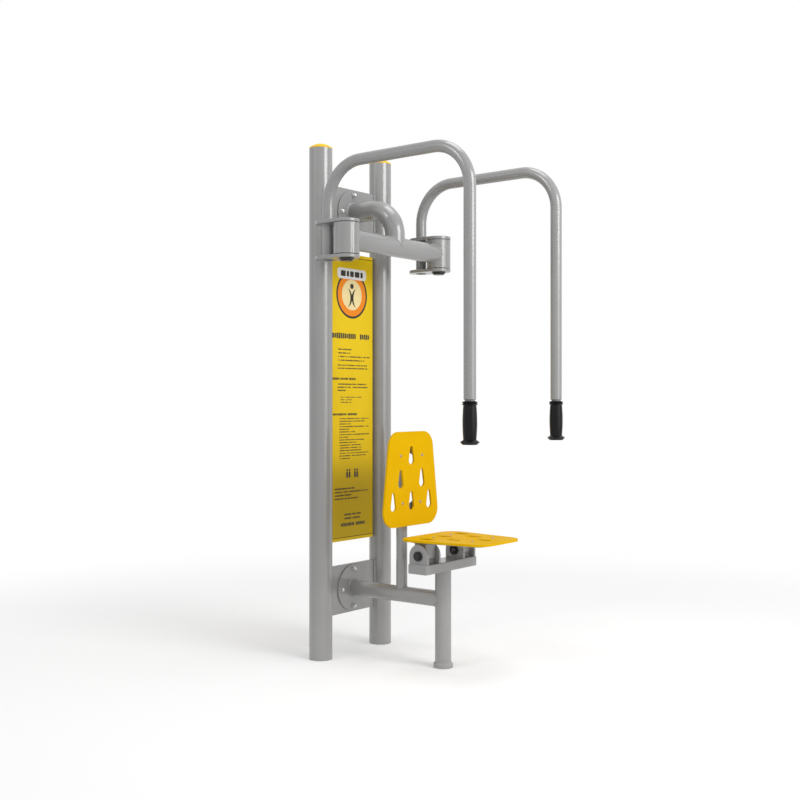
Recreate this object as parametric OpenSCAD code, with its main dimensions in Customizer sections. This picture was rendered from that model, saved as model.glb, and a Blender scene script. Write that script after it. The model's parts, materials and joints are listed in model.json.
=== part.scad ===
// Outdoor pec fly machine. Two uprights carry a yoke with a hub at each end. A hanging arm
// swings about each hub on two sealed ball bearings. Below them sit a fixed backrest and a
// seat that folds up when nobody sits on it.
// Millimetres, +Z up, the user faces -Y. The origin is on the ground, in the middle of the
// footprint.

/* [Uprights] */
// Outer diameter of each upright
post_d = 88.9; // [84:0.1:95]
// Wall of each upright
post_wall = 3.6; // [3:0.1:5]
// Height of each upright without its cap
post_h = 1946; // [1900:2:2050]
// Width between the axes of the uprights
post_span_w = 360; // [345:5:400]
// Height of a cap's dome
cap_rise = 16; // [10:1:24]
// Height of the straight rim under a cap's dome
cap_rim_h = 4; // [2:0.5:10]
// Depth of a cap's skirt inside the upright
cap_skirt_h = 25; // [15:1:40]

/* [Mount plates] */
// Height of each plate between the uprights
plate_h = 190; // [182:1:200]
// Thickness of each plate
plate_t = 10; // [8:1:14]
// Depth of the upper plate's middle below the uprights' ends
upper_plate_drop = 224; // [205:1:250]
// Height of the lower plate's middle
lower_plate_z = 250; // [230:1:270]
// Diameter of each bolted flange
flange_d = 180; // [172:1:190]
// Thickness of each flange
flange_t = 6; // [5:1:12]
// Pitch circle of the flange bolts
flange_pcd = 144; // [138:1:150]
// Thread of the flange bolts
flange_bolt_d = 10; // [8:1:12]

/* [Yoke] */
// Outer diameter of the yoke tube
yoke_d = 76.1; // [66:0.1:80]
// Wall of the yoke tube and the crossbar
yoke_wall = 3; // [2.5:0.1:4]
// Distance from the uprights' axes forward to the hubs' axes
yoke_reach = 219; // [212:1:235]
// Bend radius of the yoke tube's centreline
yoke_bend_r = 105; // [92:1:112]
// Outer diameter of the crossbar
crossbar_d = 76.1; // [66:0.1:80]
// Depth of the crossbar's axis below the upper plate's middle
crossbar_drop = 149; // [145:1:170]

/* [Hubs] */
// Width between the hubs' axes
hub_span_w = 568; // [550:2:600]
// Outer diameter of each hub
hub_d = 95; // [88:1:96]
// Height of each hub
hub_h = 113; // [106:1:124]
// Outer diameter of each bearing
bearing_od = 62; // [60:1:68]
// Width of each bearing
bearing_w = 16; // [14:1:19]
// Balls in each bearing
bearing_balls = 9; // [7:1:10]
// Diameter of each axle
axle_d = 30; // [28:0.5:32]
// Height of the ring between a bearing and an arm plate
spacer_t = 2; // [1.5:0.5:4]
// Diameter of the cap under each hub
hub_cap_d = 59; // [54:1:62]
// Height of the cap under each hub
hub_cap_h = 11; // [11:1:18]

/* [Arms] */
// Outer diameter of the arm tubes
arm_d = 42.4; // [40:0.1:45]
// Wall of the arm tubes
arm_wall = 2.6; // [2:0.1:3.5]
// Radius of the ends of the arm plates
arm_plate_r = 48; // [47:1:52]
// Thickness of the arm plates
arm_plate_t = 12; // [8:1:15]
// Distance from a hub's axis back to the arm's rear leg
arm_tail = 88; // [85:1:96]
// Distance from an arm's rear leg to its hanging leg
arm_reach = 629; // [560:1:680]
// Bend radius of the arm's centreline
arm_bend_r = 150; // [120:1:170]
// Height of the arm's level stretch above the crossbar
arm_rise_h = 280; // [255:1:320]
// Depth of the hanging leg's lower end below the crossbar
arm_drop = 583; // [520:1:620]

/* [Grips] */
// Diameter of the grip's swelling at its middle
grip_d = 49.5; // [47:0.5:52]
// Diameter of the grip's body at its ends
grip_end_d = 44.5; // [42:0.5:46]
// Length of the grip
grip_len = 146; // [130:1:160]
// Diameter of the two crests at the grip's top
grip_crest_d = 54.5; // [52:0.5:58]
// Diameter of the flange at the grip's foot
grip_flange_d = 66; // [60:1:72]
// Diameter of the spigot inside the grip
spigot_d = 33.7; // [30:0.1:35]

/* [Boards] */
// Length of the seat board and the backrest board
board_len = 356; // [340:1:380]
// Width of a board across its wide end, before rounding
board_w = 350; // [340:1:380]
// Width of a board across its narrow end, before rounding
board_tip_w = 258; // [245:1:280]
// Corner radius of a board
board_corner_r = 60; // [40:1:66]
// Thickness of a board
board_t = 8; // [6:0.5:10]
// Length of each teardrop slot
slot_len = 70; // [56:1:76]
// Radius of a slot's wide end
slot_r = 16.5; // [12:0.5:18]
// Radius of a slot's narrow end
slot_tip_r = 8.5; // [6:0.5:10]
// Thread of the board screws
board_screw_d = 6; // [5:1:8]

/* [Seat frame] */
// Distance from the uprights' axes forward to the seat post
seat_reach = 446; // [435:1:470]
// Outer diameter of the seat post and the lower tube
seat_post_d = 60.3; // [57:0.1:63.5]
// Wall of the seat post and the lower tube
seat_post_wall = 2.9; // [2.3:0.1:4]
// Height of the seat post
seat_post_h = 361; // [345:1:380]
// Diameter of the collar at the seat post's foot
foot_d = 73; // [68:1:90]
// Height of the collar at the seat post's foot
foot_h = 22; // [16:1:40]
// Length of the seat beam
beam_len = 320; // [314:1:330]
// Width of the seat beam
beam_w = 82; // [78:1:83]
// Height of the seat beam
beam_h = 35; // [30:1:50]

/* [Seat hinge] */
// Height of the hinge axis above the beam
hinge_rise = 30; // [28:1:34]
// Radius of the cheek plates
cheek_r = 41; // [38:0.5:42]
// Thickness of the cheek plates
cheek_t = 10; // [8:0.5:11]
// Clear width between a pair of cheek plates
cheek_gap = 61; // [56:0.5:64]
// Diameter of the hinge pins
pin_d = 16; // [14:0.5:18]
// Diameter of the knuckle between a pair of cheek plates
knuckle_d = 51; // [46:0.5:54]
// Height of the seat's top above the hinge axis
seat_lift = 57.5; // [57.5:0.5:64]
// Distance from the hinge axis back to the seat's rear edge
seat_overhang = 90; // [75:1:100]
// Thickness of the plate under the seat board
carrier_t = 6; // [4:0.5:6]

/* [Backrest] */
// Distance from the uprights' axes forward to the backrest's face
back_reach = 299; // [285:1:310]
// Height of the backrest's lower edge
back_z = 513; // [505:1:540]
// Outer diameter of the backrest post
back_post_d = 42.4; // [38:0.1:48.3]
// Thickness of the brackets behind the backrest
bracket_t = 8; // [6:0.5:10]
// Height of the bosses between a bracket and the board
boss_h = 10; // [4:1:14]
// Width of a bracket's arms
bracket_w = 24; // [22:1:28]
// Rise of a bracket's arms towards the post
bracket_rise = 29; // [20:1:34]

/* [Panel] */
// Clear width between the panel and each upright
panel_side_gap = 9.55; // [4.05:0.5:16]
// Height of the panel's lower edge
panel_z = 437; // [420:1:460]
// Clear height between the panel and the upper flange
panel_top_gap = 70; // [50:1:120]
// Depth of the panel's folded tray
panel_depth = 20; // [16:1:30]
// Thickness of the panel's sheets
sheet_t = 2; // [1.5:0.1:3]
// Height of the strip at each end of the panel
strip_h = 12; // [8:1:20]
// Thread of the panel's bolts
panel_bolt_d = 6; // [5:1:8]

/* [Hidden] */
$fn = 72;
// Overrun of every cut
over = 1;
// Radial clearance of a running fit
fit = 0.05;
// Clearance of faces that turn past each other or meet at a stop
gap = 0.3;

// Proportions of the fasteners, as shares of their thread
hex_share = 1.7;
hex_height_share = 0.65;
nut_height_share = 0.8;
dome_share = 0.75;
dome_rise_share = 0.6;
washer_share = 2.1;
hole_share = 1.1;
button_share = 1.75;
button_height_share = 0.5;
washer_t = 1.5;

// Places from the ground up
upper_plate_z = post_h - upper_plate_drop;
crossbar_z = upper_plate_z - crossbar_drop;
arm_top_z = crossbar_z + arm_rise_h;
arm_leg_z = crossbar_z - arm_drop;
panel_w = post_span_w - post_d - 2 * panel_side_gap;
panel_h = upper_plate_z - flange_d / 2 - panel_top_gap - panel_z;

// Places from front to back
front_reach = yoke_reach + arm_reach - arm_tail + grip_flange_d / 2;
post_y = (front_reach - post_d / 2) / 2;
hub_y = post_y - yoke_reach;
tail_y = hub_y + arm_tail;
leg_y = tail_y - arm_reach;
seat_y = post_y - seat_reach;
back_y = post_y - back_reach;
bracket_y = back_y + board_t + boss_h;
back_post_y = bracket_y + bracket_t + back_post_d / 2;
plate_front_y = post_y - plate_t / 2;
flange_front_y = plate_front_y - flange_t;

// Places from side to side
post_x = post_span_w / 2;
hub_x = hub_span_w / 2;
cheek_inset = 7;
outer_cheek_x = beam_len / 2 - cheek_inset - cheek_t;
unit_x = outer_cheek_x - cheek_gap;
inner_cheek_x = unit_x - cheek_t;

// Bends and tubes
yoke_bend_z = upper_plate_z - yoke_bend_r;
arm_bend_z = arm_top_z - arm_bend_r;
arm_stub = 1;
weld_leg = 5;

// Hub and bearing
plate_gap = hub_h + 2 * spacer_t;
arm_plate_low_z = crossbar_z - plate_gap / 2 - arm_plate_t;
arm_plate_top_z = crossbar_z + plate_gap / 2;
hub_low_z = crossbar_z - hub_h / 2;
hub_shoulder = 4;
bearing_pitch_r = (bearing_od + axle_d) / 4;
race_land = 3.25;
ball_d = 9.5;
ball_play = 0.3;
seal_t = 1;
seal_inset = 0.5;
spacer_w = 5;
lock_nut_d = 40;
lock_nut_h = 6;
lock_slot_w = 5;
lock_slot_depth = 2;
lock_washer_d = 44;
hub_cap_tip_d = 42;
hub_cap_wall = 2.5;

// Caps of the uprights and the backrest post
cap_wall = 3;
cap_seat_depth = 1;
cap_seat_spare = 2;
cap_seat_d = post_d - 2 * (post_wall - cap_seat_depth);
plug_flange_h = 4;
plug_skirt_h = 18;

// Grip
collar_h = 5;
collar_bevel = 2.5;
plug_h = 40;
spigot_bore_d = 20;
grip_end_t = 6;
grip_rim = 1.5;
crest_h = 4;
crest_step = 7;
crest_flat = 0.8;
crest_valley = 0.8;
foot_flare = 8;
foot_taper = 9;
foot_inset = 8;
barrel_steps = 10;

// Places of slots and screws on a board, from its wide end
slot_rows = [95, 179, 266.5];
slot_x = [110, 65];
screw_rows = [87, 265.5];
screw_x = [55, 66];

// Seat and hinge
beam_wall = 3;
beam_top_z = seat_post_h + beam_h;
hinge_z = beam_top_z + hinge_rise;
board_under = seat_lift - board_t;
carrier_under = board_under - carrier_t;
carrier_inset = 32;
carrier_corner_r = 30;
bush_wall = 3;
bush_flange_d = 30;
bush_flange_t = 2;
bush_len = 20;
knuckle_len = cheek_gap - 2 * bush_flange_t - 2 * gap;
knuckle_x = unit_x + bush_flange_t + gap;
lug_front = 19;
lug_back = 9;
pin_head_edge = 5;
pin_head_d = pin_d + 2 * pin_head_edge;
pin_head_t = 4;
hinge_cap_edge = 5;
hinge_cap_d = pin_head_d + 2 * hinge_cap_edge;
hinge_cap_shell = 1.5;
hinge_cap_rim = pin_head_t + gap + hinge_cap_shell;
hinge_cap_rise = 3.5;
foot_bevel = 7;

// Backrest
upper_bracket_z = back_z + screw_rows[1];
back_post_top_z = upper_bracket_z + bracket_rise + bracket_w / 2;
boss_d = 18;
bracket_back = board_t + boss_h + bracket_t;

// Panel
panel_set_forward = 2;
panel_y = post_y - panel_set_forward;
face_gap = 2.5;
lip_w = 16;
rail_h = 40;
rail_t = 5;
rail_shares = [0.358, 0.696];
rail_z = [for (share = rail_shares) panel_z + share * panel_h];
panel_bolt_inset = 9;

// Shared shapes

module both_sides() {
    children();
    mirror([1, 0, 0]) children();
}

module tube_z(d, wall, h) {
    difference() {
        cylinder(d = d, h = h);
        translate([0, 0, -over]) cylinder(d = d - 2 * wall, h = h + 2 * over);
    }
}

// A round bar that runs from the origin towards -Y
module bar_y(d, h) {
    rotate([90, 0, 0]) cylinder(d = d, h = h);
}

// A quarter bend in the plane of Y and Z
module bend(r, d, from) {
    rotate([90, 0, 90]) rotate([0, 0, from])
        rotate_extrude(angle = 90) translate([r, 0]) circle(d = d);
}

// A profile drawn in Y and Z, carried along +X
module along_x(x, t) {
    translate([x, seat_y, hinge_z]) rotate([90, 0, 90]) linear_extrude(t) children();
}

// A dome of the given height on a round base
module dome(d, h) {
    r = (d * d / 4 + h * h) / (2 * h);
    intersection() {
        translate([0, 0, h - r]) sphere(r = r);
        cylinder(d = d, h = h);
    }
}

module hex_head(d) {
    cylinder(d = hex_share * d / cos(30), h = hex_height_share * d, $fn = 6);
}

// A nut with a hole right through, from z = 0 up
module hex_nut(d) {
    difference() {
        cylinder(d = hex_share * d / cos(30), h = nut_height_share * d, $fn = 6);
        translate([0, 0, -over]) cylinder(d = d, h = nut_height_share * d + 2 * over);
    }
}

// A closed nut with a domed end
module dome_nut(d) {
    h = nut_height_share * d;
    difference() {
        union() {
            cylinder(d = hex_share * d / cos(30), h = h, $fn = 6);
            translate([0, 0, h]) dome(2 * dome_share * d, dome_rise_share * d);
        }
        translate([0, 0, -over]) cylinder(d = d, h = h + over);
    }
}

// A round-headed screw whose shank runs down from z = 0
module button_screw(d, len) {
    dome(button_share * d, button_height_share * d);
    translate([0, 0, -len]) cylinder(d = d, h = len);
}

// The eight places of the flange bolts, with +Z of each child facing the front
module at_flange_bolts() {
    for (z = [upper_plate_z, lower_plate_z], a = [0 : 90 : 270])
        translate([cos(a) * flange_pcd / 2, 0, z + sin(a) * flange_pcd / 2])
            rotate([90, 0, 0]) children();
}

// Uprights, mount plates and flanges

// A tube with a shallow seat for its cap turned in the upper end
module post(side) {
    seat_h = cap_skirt_h + cap_seat_spare;
    color("silver") translate([side * post_x, post_y, 0]) difference() {
        tube_z(post_d, post_wall, post_h);
        translate([0, 0, post_h - seat_h]) cylinder(d = cap_seat_d, h = seat_h + over);
    }
}

module post_cap(side) {
    color("gold") translate([side * post_x, post_y, post_h]) {
        cylinder(d = post_d, h = cap_rim_h);
        translate([0, 0, cap_rim_h]) dome(post_d, cap_rise);
        translate([0, 0, -cap_skirt_h]) tube_z(cap_seat_d, cap_wall, cap_skirt_h);
    }
}

module mount_plate(z) {
    color("silver") difference() {
        translate([-post_x, plate_front_y, z - plate_h / 2]) cube([post_span_w, plate_t, plate_h]);
        for (side = [-1, 1])
            translate([side * post_x, post_y, z - plate_h]) cylinder(d = post_d, h = 2 * plate_h);
        translate([0, post_y + plate_t, 0]) at_flange_bolts()
            cylinder(d = hole_share * flange_bolt_d, h = 2 * plate_t);
    }
}

// The disc and the weld bead round the tube that it carries
module flange(z, tube_d) {
    bead_d = tube_d + 2 * weld_leg;
    color("silver") {
        difference() {
            translate([0, plate_front_y, z]) bar_y(flange_d, flange_t);
            translate([0, plate_front_y + over, 0]) at_flange_bolts()
                cylinder(d = hole_share * flange_bolt_d, h = flange_t + 2 * over);
        }
        translate([0, flange_front_y, z]) rotate([90, 0, 0]) difference() {
            cylinder(d1 = bead_d, d2 = tube_d, h = weld_leg);
            translate([0, 0, -over]) cylinder(d = tube_d, h = weld_leg + 2 * over);
        }
    }
}

module flange_bolts() {
    reach = plate_t + flange_t + washer_t + nut_height_share * flange_bolt_d;
    color("gainsboro") translate([0, post_y + plate_t / 2, 0]) at_flange_bolts() {
        mirror([0, 0, 1]) hex_head(flange_bolt_d);
        cylinder(d = flange_bolt_d, h = reach);
    }
}

module flange_washers() {
    color("gainsboro") translate([0, flange_front_y, 0]) at_flange_bolts() difference() {
        cylinder(d = washer_share * flange_bolt_d, h = washer_t);
        translate([0, 0, -over]) cylinder(d = flange_bolt_d, h = washer_t + 2 * over);
    }
}

module flange_dome_nuts() {
    color("gainsboro") translate([0, flange_front_y - washer_t, 0]) at_flange_bolts()
        dome_nut(flange_bolt_d);
}

// Yoke, crossbar and hubs

module yoke_path(d) {
    translate([0, flange_front_y, upper_plate_z])
        bar_y(d, flange_front_y - hub_y - yoke_bend_r);
    translate([0, hub_y + yoke_bend_r, yoke_bend_z]) bend(yoke_bend_r, d, 90);
    translate([0, hub_y, crossbar_z]) cylinder(d = d, h = yoke_bend_z - crossbar_z);
}

module crossbar_bar(d) {
    translate([0, hub_y, crossbar_z]) rotate([0, 90, 0])
        cylinder(d = d, h = hub_span_w, center = true);
}

module yoke_tube() {
    color("silver") difference() {
        yoke_path(yoke_d);
        yoke_path(yoke_d - 2 * yoke_wall);
        crossbar_bar(crossbar_d);
    }
}

module crossbar() {
    color("silver") difference() {
        crossbar_bar(crossbar_d);
        crossbar_bar(crossbar_d - 2 * yoke_wall);
        both_sides() translate([hub_x, hub_y, hub_low_z]) cylinder(d = hub_d, h = hub_h);
    }
}

module hub(side) {
    color("silver") translate([side * hub_x, hub_y, hub_low_z]) difference() {
        cylinder(d = hub_d, h = hub_h);
        translate([0, 0, -over]) cylinder(d = bearing_od - 2 * hub_shoulder, h = hub_h + 2 * over);
        translate([0, 0, -over]) cylinder(d = bearing_od, h = bearing_w + over);
        translate([0, 0, hub_h - bearing_w]) cylinder(d = bearing_od, h = bearing_w + over);
    }
}

// The places of the two bearings of one hub, at their lower faces
module at_bearings(side) {
    for (z = [hub_low_z, hub_low_z + hub_h - bearing_w])
        translate([side * hub_x, hub_y, z]) children();
}

module ball_groove() {
    translate([0, 0, bearing_w / 2]) rotate_extrude() translate([bearing_pitch_r, 0])
        circle(d = ball_d + 2 * ball_play);
}

// Outer races, each with a seal near both faces
module bearing_outer_races() {
    land_r = bearing_pitch_r + race_land;
    seal_r = bearing_pitch_r - race_land + gap;
    color("dimgray") for (side = [-1, 1]) at_bearings(side) {
        difference() {
            cylinder(d = bearing_od, h = bearing_w);
            translate([0, 0, -over]) cylinder(r = land_r, h = bearing_w + 2 * over);
            ball_groove();
        }
        for (z = [seal_inset, bearing_w - seal_inset - seal_t]) translate([0, 0, z]) difference() {
            cylinder(r = land_r, h = seal_t);
            translate([0, 0, -over]) cylinder(r = seal_r, h = seal_t + 2 * over);
        }
    }
}

module bearing_inner_races(side) {
    color("gainsboro") at_bearings(side) difference() {
        cylinder(r = bearing_pitch_r - race_land, h = bearing_w);
        translate([0, 0, -over]) cylinder(d = axle_d, h = bearing_w + 2 * over);
        ball_groove();
    }
}

module bearing_balls(side) {
    color("white") at_bearings(side) for (i = [0 : bearing_balls - 1])
        rotate([0, 0, i * 360 / bearing_balls]) translate([bearing_pitch_r, 0, bearing_w / 2])
            sphere(d = ball_d, $fn = 24);
}

// Swinging arms

module axle(side) {
    low_z = arm_plate_low_z - washer_t - lock_nut_h;
    color("gainsboro") translate([side * hub_x, hub_y, low_z])
        cylinder(d = axle_d, h = arm_plate_top_z + arm_plate_t - low_z);
}

module spacer_rings(side) {
    color("gainsboro") for (z = [hub_low_z - spacer_t, hub_low_z + hub_h])
        translate([side * hub_x, hub_y, z]) tube_z(axle_d + 2 * spacer_w, spacer_w, spacer_t);
}

module arm_plate_outline() {
    difference() {
        union() {
            circle(r = arm_plate_r);
            translate([0, arm_tail]) circle(r = arm_plate_r);
            translate([-arm_plate_r, 0]) square([2 * arm_plate_r, arm_tail]);
        }
        circle(d = axle_d);
        translate([0, arm_tail]) circle(d = arm_d);
    }
}

module arm_plates(side) {
    color("silver") for (z = [arm_plate_low_z, arm_plate_top_z])
        translate([side * hub_x, hub_y, z]) linear_extrude(arm_plate_t) arm_plate_outline();
}

module arm_path(d, extra) {
    low_z = arm_plate_low_z - arm_stub - extra;
    translate([0, tail_y, low_z]) cylinder(d = d, h = arm_bend_z - low_z);
    translate([0, tail_y - arm_bend_r, arm_bend_z]) bend(arm_bend_r, d, 0);
    translate([0, tail_y - arm_bend_r, arm_top_z]) bar_y(d, arm_reach - 2 * arm_bend_r);
    translate([0, leg_y + arm_bend_r, arm_bend_z]) bend(arm_bend_r, d, 90);
    translate([0, leg_y, arm_leg_z - extra]) cylinder(d = d, h = arm_bend_z - arm_leg_z + extra);
}

module arm_tube(side) {
    color("silver") translate([side * hub_x, 0, 0]) difference() {
        arm_path(arm_d, 0);
        arm_path(arm_d - 2 * arm_wall, over);
    }
}

// A slotted round nut over a washer
module lock_nut(side) {
    color("gainsboro") translate([side * hub_x, hub_y, arm_plate_low_z - washer_t]) {
        tube_z(lock_washer_d, (lock_washer_d - axle_d) / 2, washer_t);
        translate([0, 0, -lock_nut_h]) difference() {
            cylinder(d = lock_nut_d, h = lock_nut_h);
            translate([0, 0, -over]) cylinder(d = axle_d, h = lock_nut_h + 2 * over);
            for (a = [0 : 90 : 270]) rotate([0, 0, a])
                translate([lock_nut_d / 2 - lock_slot_depth, -lock_slot_w / 2, -over])
                    cube([lock_nut_d, lock_slot_w, lock_nut_h + 2 * over]);
        }
    }
}

// A tapered cap that hides the lock nut
module hub_cap(side) {
    cavity_h = hub_cap_h - hub_cap_wall;
    color("black") translate([side * hub_x, hub_y, arm_plate_low_z]) mirror([0, 0, 1]) difference() {
        cylinder(d1 = hub_cap_d, d2 = hub_cap_tip_d, h = hub_cap_h);
        translate([0, 0, -over]) cylinder(d = hub_cap_d - 2 * hub_cap_wall, h = over);
        cylinder(d1 = hub_cap_d - 2 * hub_cap_wall, d2 = hub_cap_tip_d - hub_cap_wall, h = cavity_h);
    }
}

// A turned spigot: a plug in the leg, a bevelled collar below it and a core for the grip
module grip_spigot(side) {
    core_h = collar_h + grip_len - grip_end_t;
    plug_r = arm_d / 2 - arm_wall;
    color("silver") translate([side * hub_x, leg_y, arm_leg_z]) rotate_extrude() polygon([
        [spigot_bore_d / 2, -core_h],
        [spigot_d / 2, -core_h],
        [spigot_d / 2, -collar_bevel],
        [arm_d / 2, 0],
        [plug_r, 0],
        [plug_r, plug_h],
        [spigot_bore_d / 2, plug_h]
    ]);
}

// Outline of the grip: distance from the axis and distance down from its top
function grip_body(top, foot) = [for (i = [0 : barrel_steps]) [
    grip_end_d / 2 + (grip_d - grip_end_d) / 2 * sin(180 * i / barrel_steps),
    top + (foot - top) * i / barrel_steps
]];

function grip_crest(z) = [
    [grip_crest_d / 2, z - crest_flat / 2],
    [grip_crest_d / 2, z + crest_flat / 2]
];

function grip_outline() = concat(
    [[spigot_d / 2, 0], [spigot_d / 2 + grip_rim, 0]],
    grip_crest(crest_h),
    [[grip_end_d / 2 + crest_valley, crest_h + crest_step / 2]],
    grip_crest(crest_h + crest_step),
    grip_body(2 * crest_h + crest_step, grip_len - foot_flare - foot_taper),
    [
        [grip_flange_d / 2, grip_len - foot_taper - crest_flat / 2],
        [grip_flange_d / 2, grip_len - foot_taper + crest_flat / 2],
        [grip_flange_d / 2 - foot_inset, grip_len],
        [0, grip_len],
        [0, grip_len - grip_end_t],
        [spigot_d / 2, grip_len - grip_end_t]
    ]
);

module grip(side) {
    color("black") translate([side * hub_x, leg_y, arm_leg_z - collar_h]) mirror([0, 0, 1])
        rotate_extrude() polygon(grip_outline());
}

// Lower tube, seat post and beam

module seat_post_bar(d) {
    translate([0, seat_y, 0]) cylinder(d = d, h = seat_post_h);
}

module lower_bar(d, extra) {
    translate([0, flange_front_y + extra, lower_plate_z]) bar_y(d, flange_front_y + extra - seat_y);
}

module lower_tube() {
    color("silver") difference() {
        lower_bar(seat_post_d, 0);
        lower_bar(seat_post_d - 2 * seat_post_wall, over);
        seat_post_bar(seat_post_d);
    }
}

module seat_post() {
    color("silver") translate([0, seat_y, 0]) tube_z(seat_post_d, seat_post_wall, seat_post_h);
}

module seat_post_foot() {
    color("silver") translate([0, seat_y, 0]) rotate_extrude() polygon([
        [seat_post_d / 2, 0],
        [foot_d / 2, 0],
        [foot_d / 2, foot_h - foot_bevel],
        [seat_post_d / 2, foot_h]
    ]);
}

// A box tube with a plate let into each end
module seat_beam() {
    inner_w = beam_w - 2 * beam_wall;
    inner_h = beam_h - 2 * beam_wall;
    color("silver") translate([0, seat_y, seat_post_h + beam_h / 2]) {
        difference() {
            cube([beam_len, beam_w, beam_h], center = true);
            cube([beam_len + 2 * over, inner_w, inner_h], center = true);
        }
        both_sides() translate([(beam_len - beam_wall) / 2, 0, 0])
            cube([beam_wall, inner_w, inner_h], center = true);
    }
}

// Seat hinge

module cheek_outline() {
    difference() {
        union() {
            circle(r = cheek_r);
            translate([-cheek_r, -hinge_rise]) square([2 * cheek_r, hinge_rise]);
        }
        translate([-cheek_r, -hinge_rise - cheek_r]) square([2 * cheek_r, cheek_r]);
        circle(d = pin_d);
    }
}

module hinge_cheeks() {
    color("silver") both_sides() for (x = [inner_cheek_x, outer_cheek_x])
        along_x(x, cheek_t) cheek_outline();
}

module hinge_pins() {
    color("gainsboro") both_sides() {
        along_x(inner_cheek_x - pin_head_t, cheek_gap + 2 * cheek_t + pin_head_t) circle(d = pin_d);
        along_x(outer_cheek_x + cheek_t, pin_head_t) circle(d = pin_head_d);
    }
}

module hinge_pin_nuts() {
    color("gainsboro") both_sides() along_x(inner_cheek_x - pin_head_t, pin_head_t) difference() {
        circle(d = pin_head_d);
        circle(d = pin_d);
    }
}

// A round cap with a rim and a domed middle, hollow over the pin's end
module hinge_cap() {
    difference() {
        union() {
            cylinder(d = hinge_cap_d, h = hinge_cap_rim);
            translate([0, 0, hinge_cap_rim]) dome(pin_head_d, hinge_cap_rise);
        }
        translate([0, 0, -over])
            cylinder(d = pin_head_d + 2 * gap, h = pin_head_t + gap + over);
    }
}

module hinge_caps() {
    color("black") both_sides() translate([0, seat_y, hinge_z]) {
        translate([outer_cheek_x + cheek_t, 0, 0]) rotate([0, 90, 0]) hinge_cap();
        translate([inner_cheek_x, 0, 0]) rotate([0, -90, 0]) hinge_cap();
    }
}

// A round knuckle with a web up to the carrier and a lug that lands on the beam
module knuckle_outline() {
    lug_z = -hinge_rise + gap;
    difference() {
        union() {
            circle(d = knuckle_d);
            translate([-knuckle_d / 2, 0]) square([knuckle_d, carrier_under]);
            polygon([[-lug_front, lug_z], [-lug_back, lug_z], [-lug_back, 0], [-lug_front, 0]]);
        }
        circle(d = pin_d + 2 * bush_wall);
    }
}

module seat_knuckles() {
    color("silver") both_sides() along_x(knuckle_x, knuckle_len) knuckle_outline();
}

module hinge_bushes() {
    color("ivory") both_sides() for (end = [0, 1]) {
        flange_x = end == 0 ? unit_x + gap : outer_cheek_x - gap - bush_flange_t;
        sleeve_x = end == 0 ? knuckle_x : knuckle_x + knuckle_len - bush_len;
        along_x(flange_x, bush_flange_t) difference() {
            circle(d = bush_flange_d);
            circle(d = pin_d + 2 * fit);
        }
        along_x(sleeve_x, bush_len) difference() {
            circle(d = pin_d + 2 * bush_wall);
            circle(d = pin_d + 2 * fit);
        }
    }
}

// Boards

// A trapezium with round corners, wide end at y = 0 and narrow end at y = len
module board_outline(w, tip_w, len, r) {
    lean = atan((w - tip_w) / 2 / len);
    wide_x = w / 2 - r * (1 + sin(lean)) / cos(lean);
    tip_x = tip_w / 2 - r * (1 - sin(lean)) / cos(lean);
    reach_x = r * cos(lean);
    reach_y = r * sin(lean);
    both_sides() {
        translate([wide_x, r]) circle(r = r);
        translate([tip_x, len - r]) circle(r = r);
    }
    polygon([
        [-wide_x, 0], [wide_x, 0],
        [wide_x + reach_x, r + reach_y], [tip_x + reach_x, len - r + reach_y],
        [tip_x, len], [-tip_x, len],
        [-tip_x - reach_x, len - r + reach_y], [-wide_x - reach_x, r + reach_y]
    ]);
}

// A slot with a wide round end and a narrow one towards +Y
module teardrop() {
    d = slot_len - slot_r - slot_tip_r;
    lean = asin((slot_r - slot_tip_r) / d);
    translate([0, slot_r - slot_len / 2]) {
        circle(r = slot_r);
        translate([0, d]) circle(r = slot_tip_r);
        polygon([
            [-slot_r * cos(lean), slot_r * sin(lean)],
            [slot_r * cos(lean), slot_r * sin(lean)],
            [slot_tip_r * cos(lean), d + slot_tip_r * sin(lean)],
            [-slot_tip_r * cos(lean), d + slot_tip_r * sin(lean)]
        ]);
    }
}

module board_slots() {
    for (x = [-slot_x[0], 0, slot_x[0]]) translate([x, slot_rows[0]]) teardrop();
    for (x = [-slot_x[1], slot_x[1]]) translate([x, slot_rows[1]]) teardrop();
    translate([0, slot_rows[2]]) teardrop();
}

module screw_places() {
    for (i = [0, 1], side = [-1, 1]) translate([side * screw_x[i], screw_rows[i]]) children();
}

module board() {
    linear_extrude(board_t) difference() {
        board_outline(board_w, board_tip_w, board_len, board_corner_r);
        board_slots();
        screw_places() circle(d = board_screw_d);
    }
}

// Board coordinates laid level, wide end at the back, z = 0 on the hinge axis
module on_seat() {
    translate([0, seat_y + seat_overhang, hinge_z]) rotate([0, 0, 180]) children();
}

module seat_board() {
    color("gold") on_seat() translate([0, 0, board_under]) board();
}

module seat_screws() {
    color("gainsboro") on_seat() translate([0, 0, seat_lift]) screw_places()
        button_screw(board_screw_d, board_t + carrier_t);
}

module seat_carrier() {
    color("silver") on_seat() translate([0, 0, carrier_under]) linear_extrude(carrier_t) difference() {
        translate([0, carrier_inset]) board_outline(board_w - 2 * carrier_inset,
            board_tip_w - 2 * carrier_inset, board_len - 2 * carrier_inset, carrier_corner_r);
        board_slots();
        screw_places() circle(d = board_screw_d);
    }
}

// Board coordinates stood upright, z = 0 on the face that the back leans on
module on_backrest() {
    translate([0, back_y, back_z]) rotate([90, 0, 0]) children();
}

module backrest_board() {
    color("gold") on_backrest() translate([0, 0, -board_t]) board();
}

module backrest_screws() {
    color("gainsboro") on_backrest() screw_places()
        button_screw(board_screw_d, bracket_back + nut_height_share * board_screw_d);
}

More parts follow.
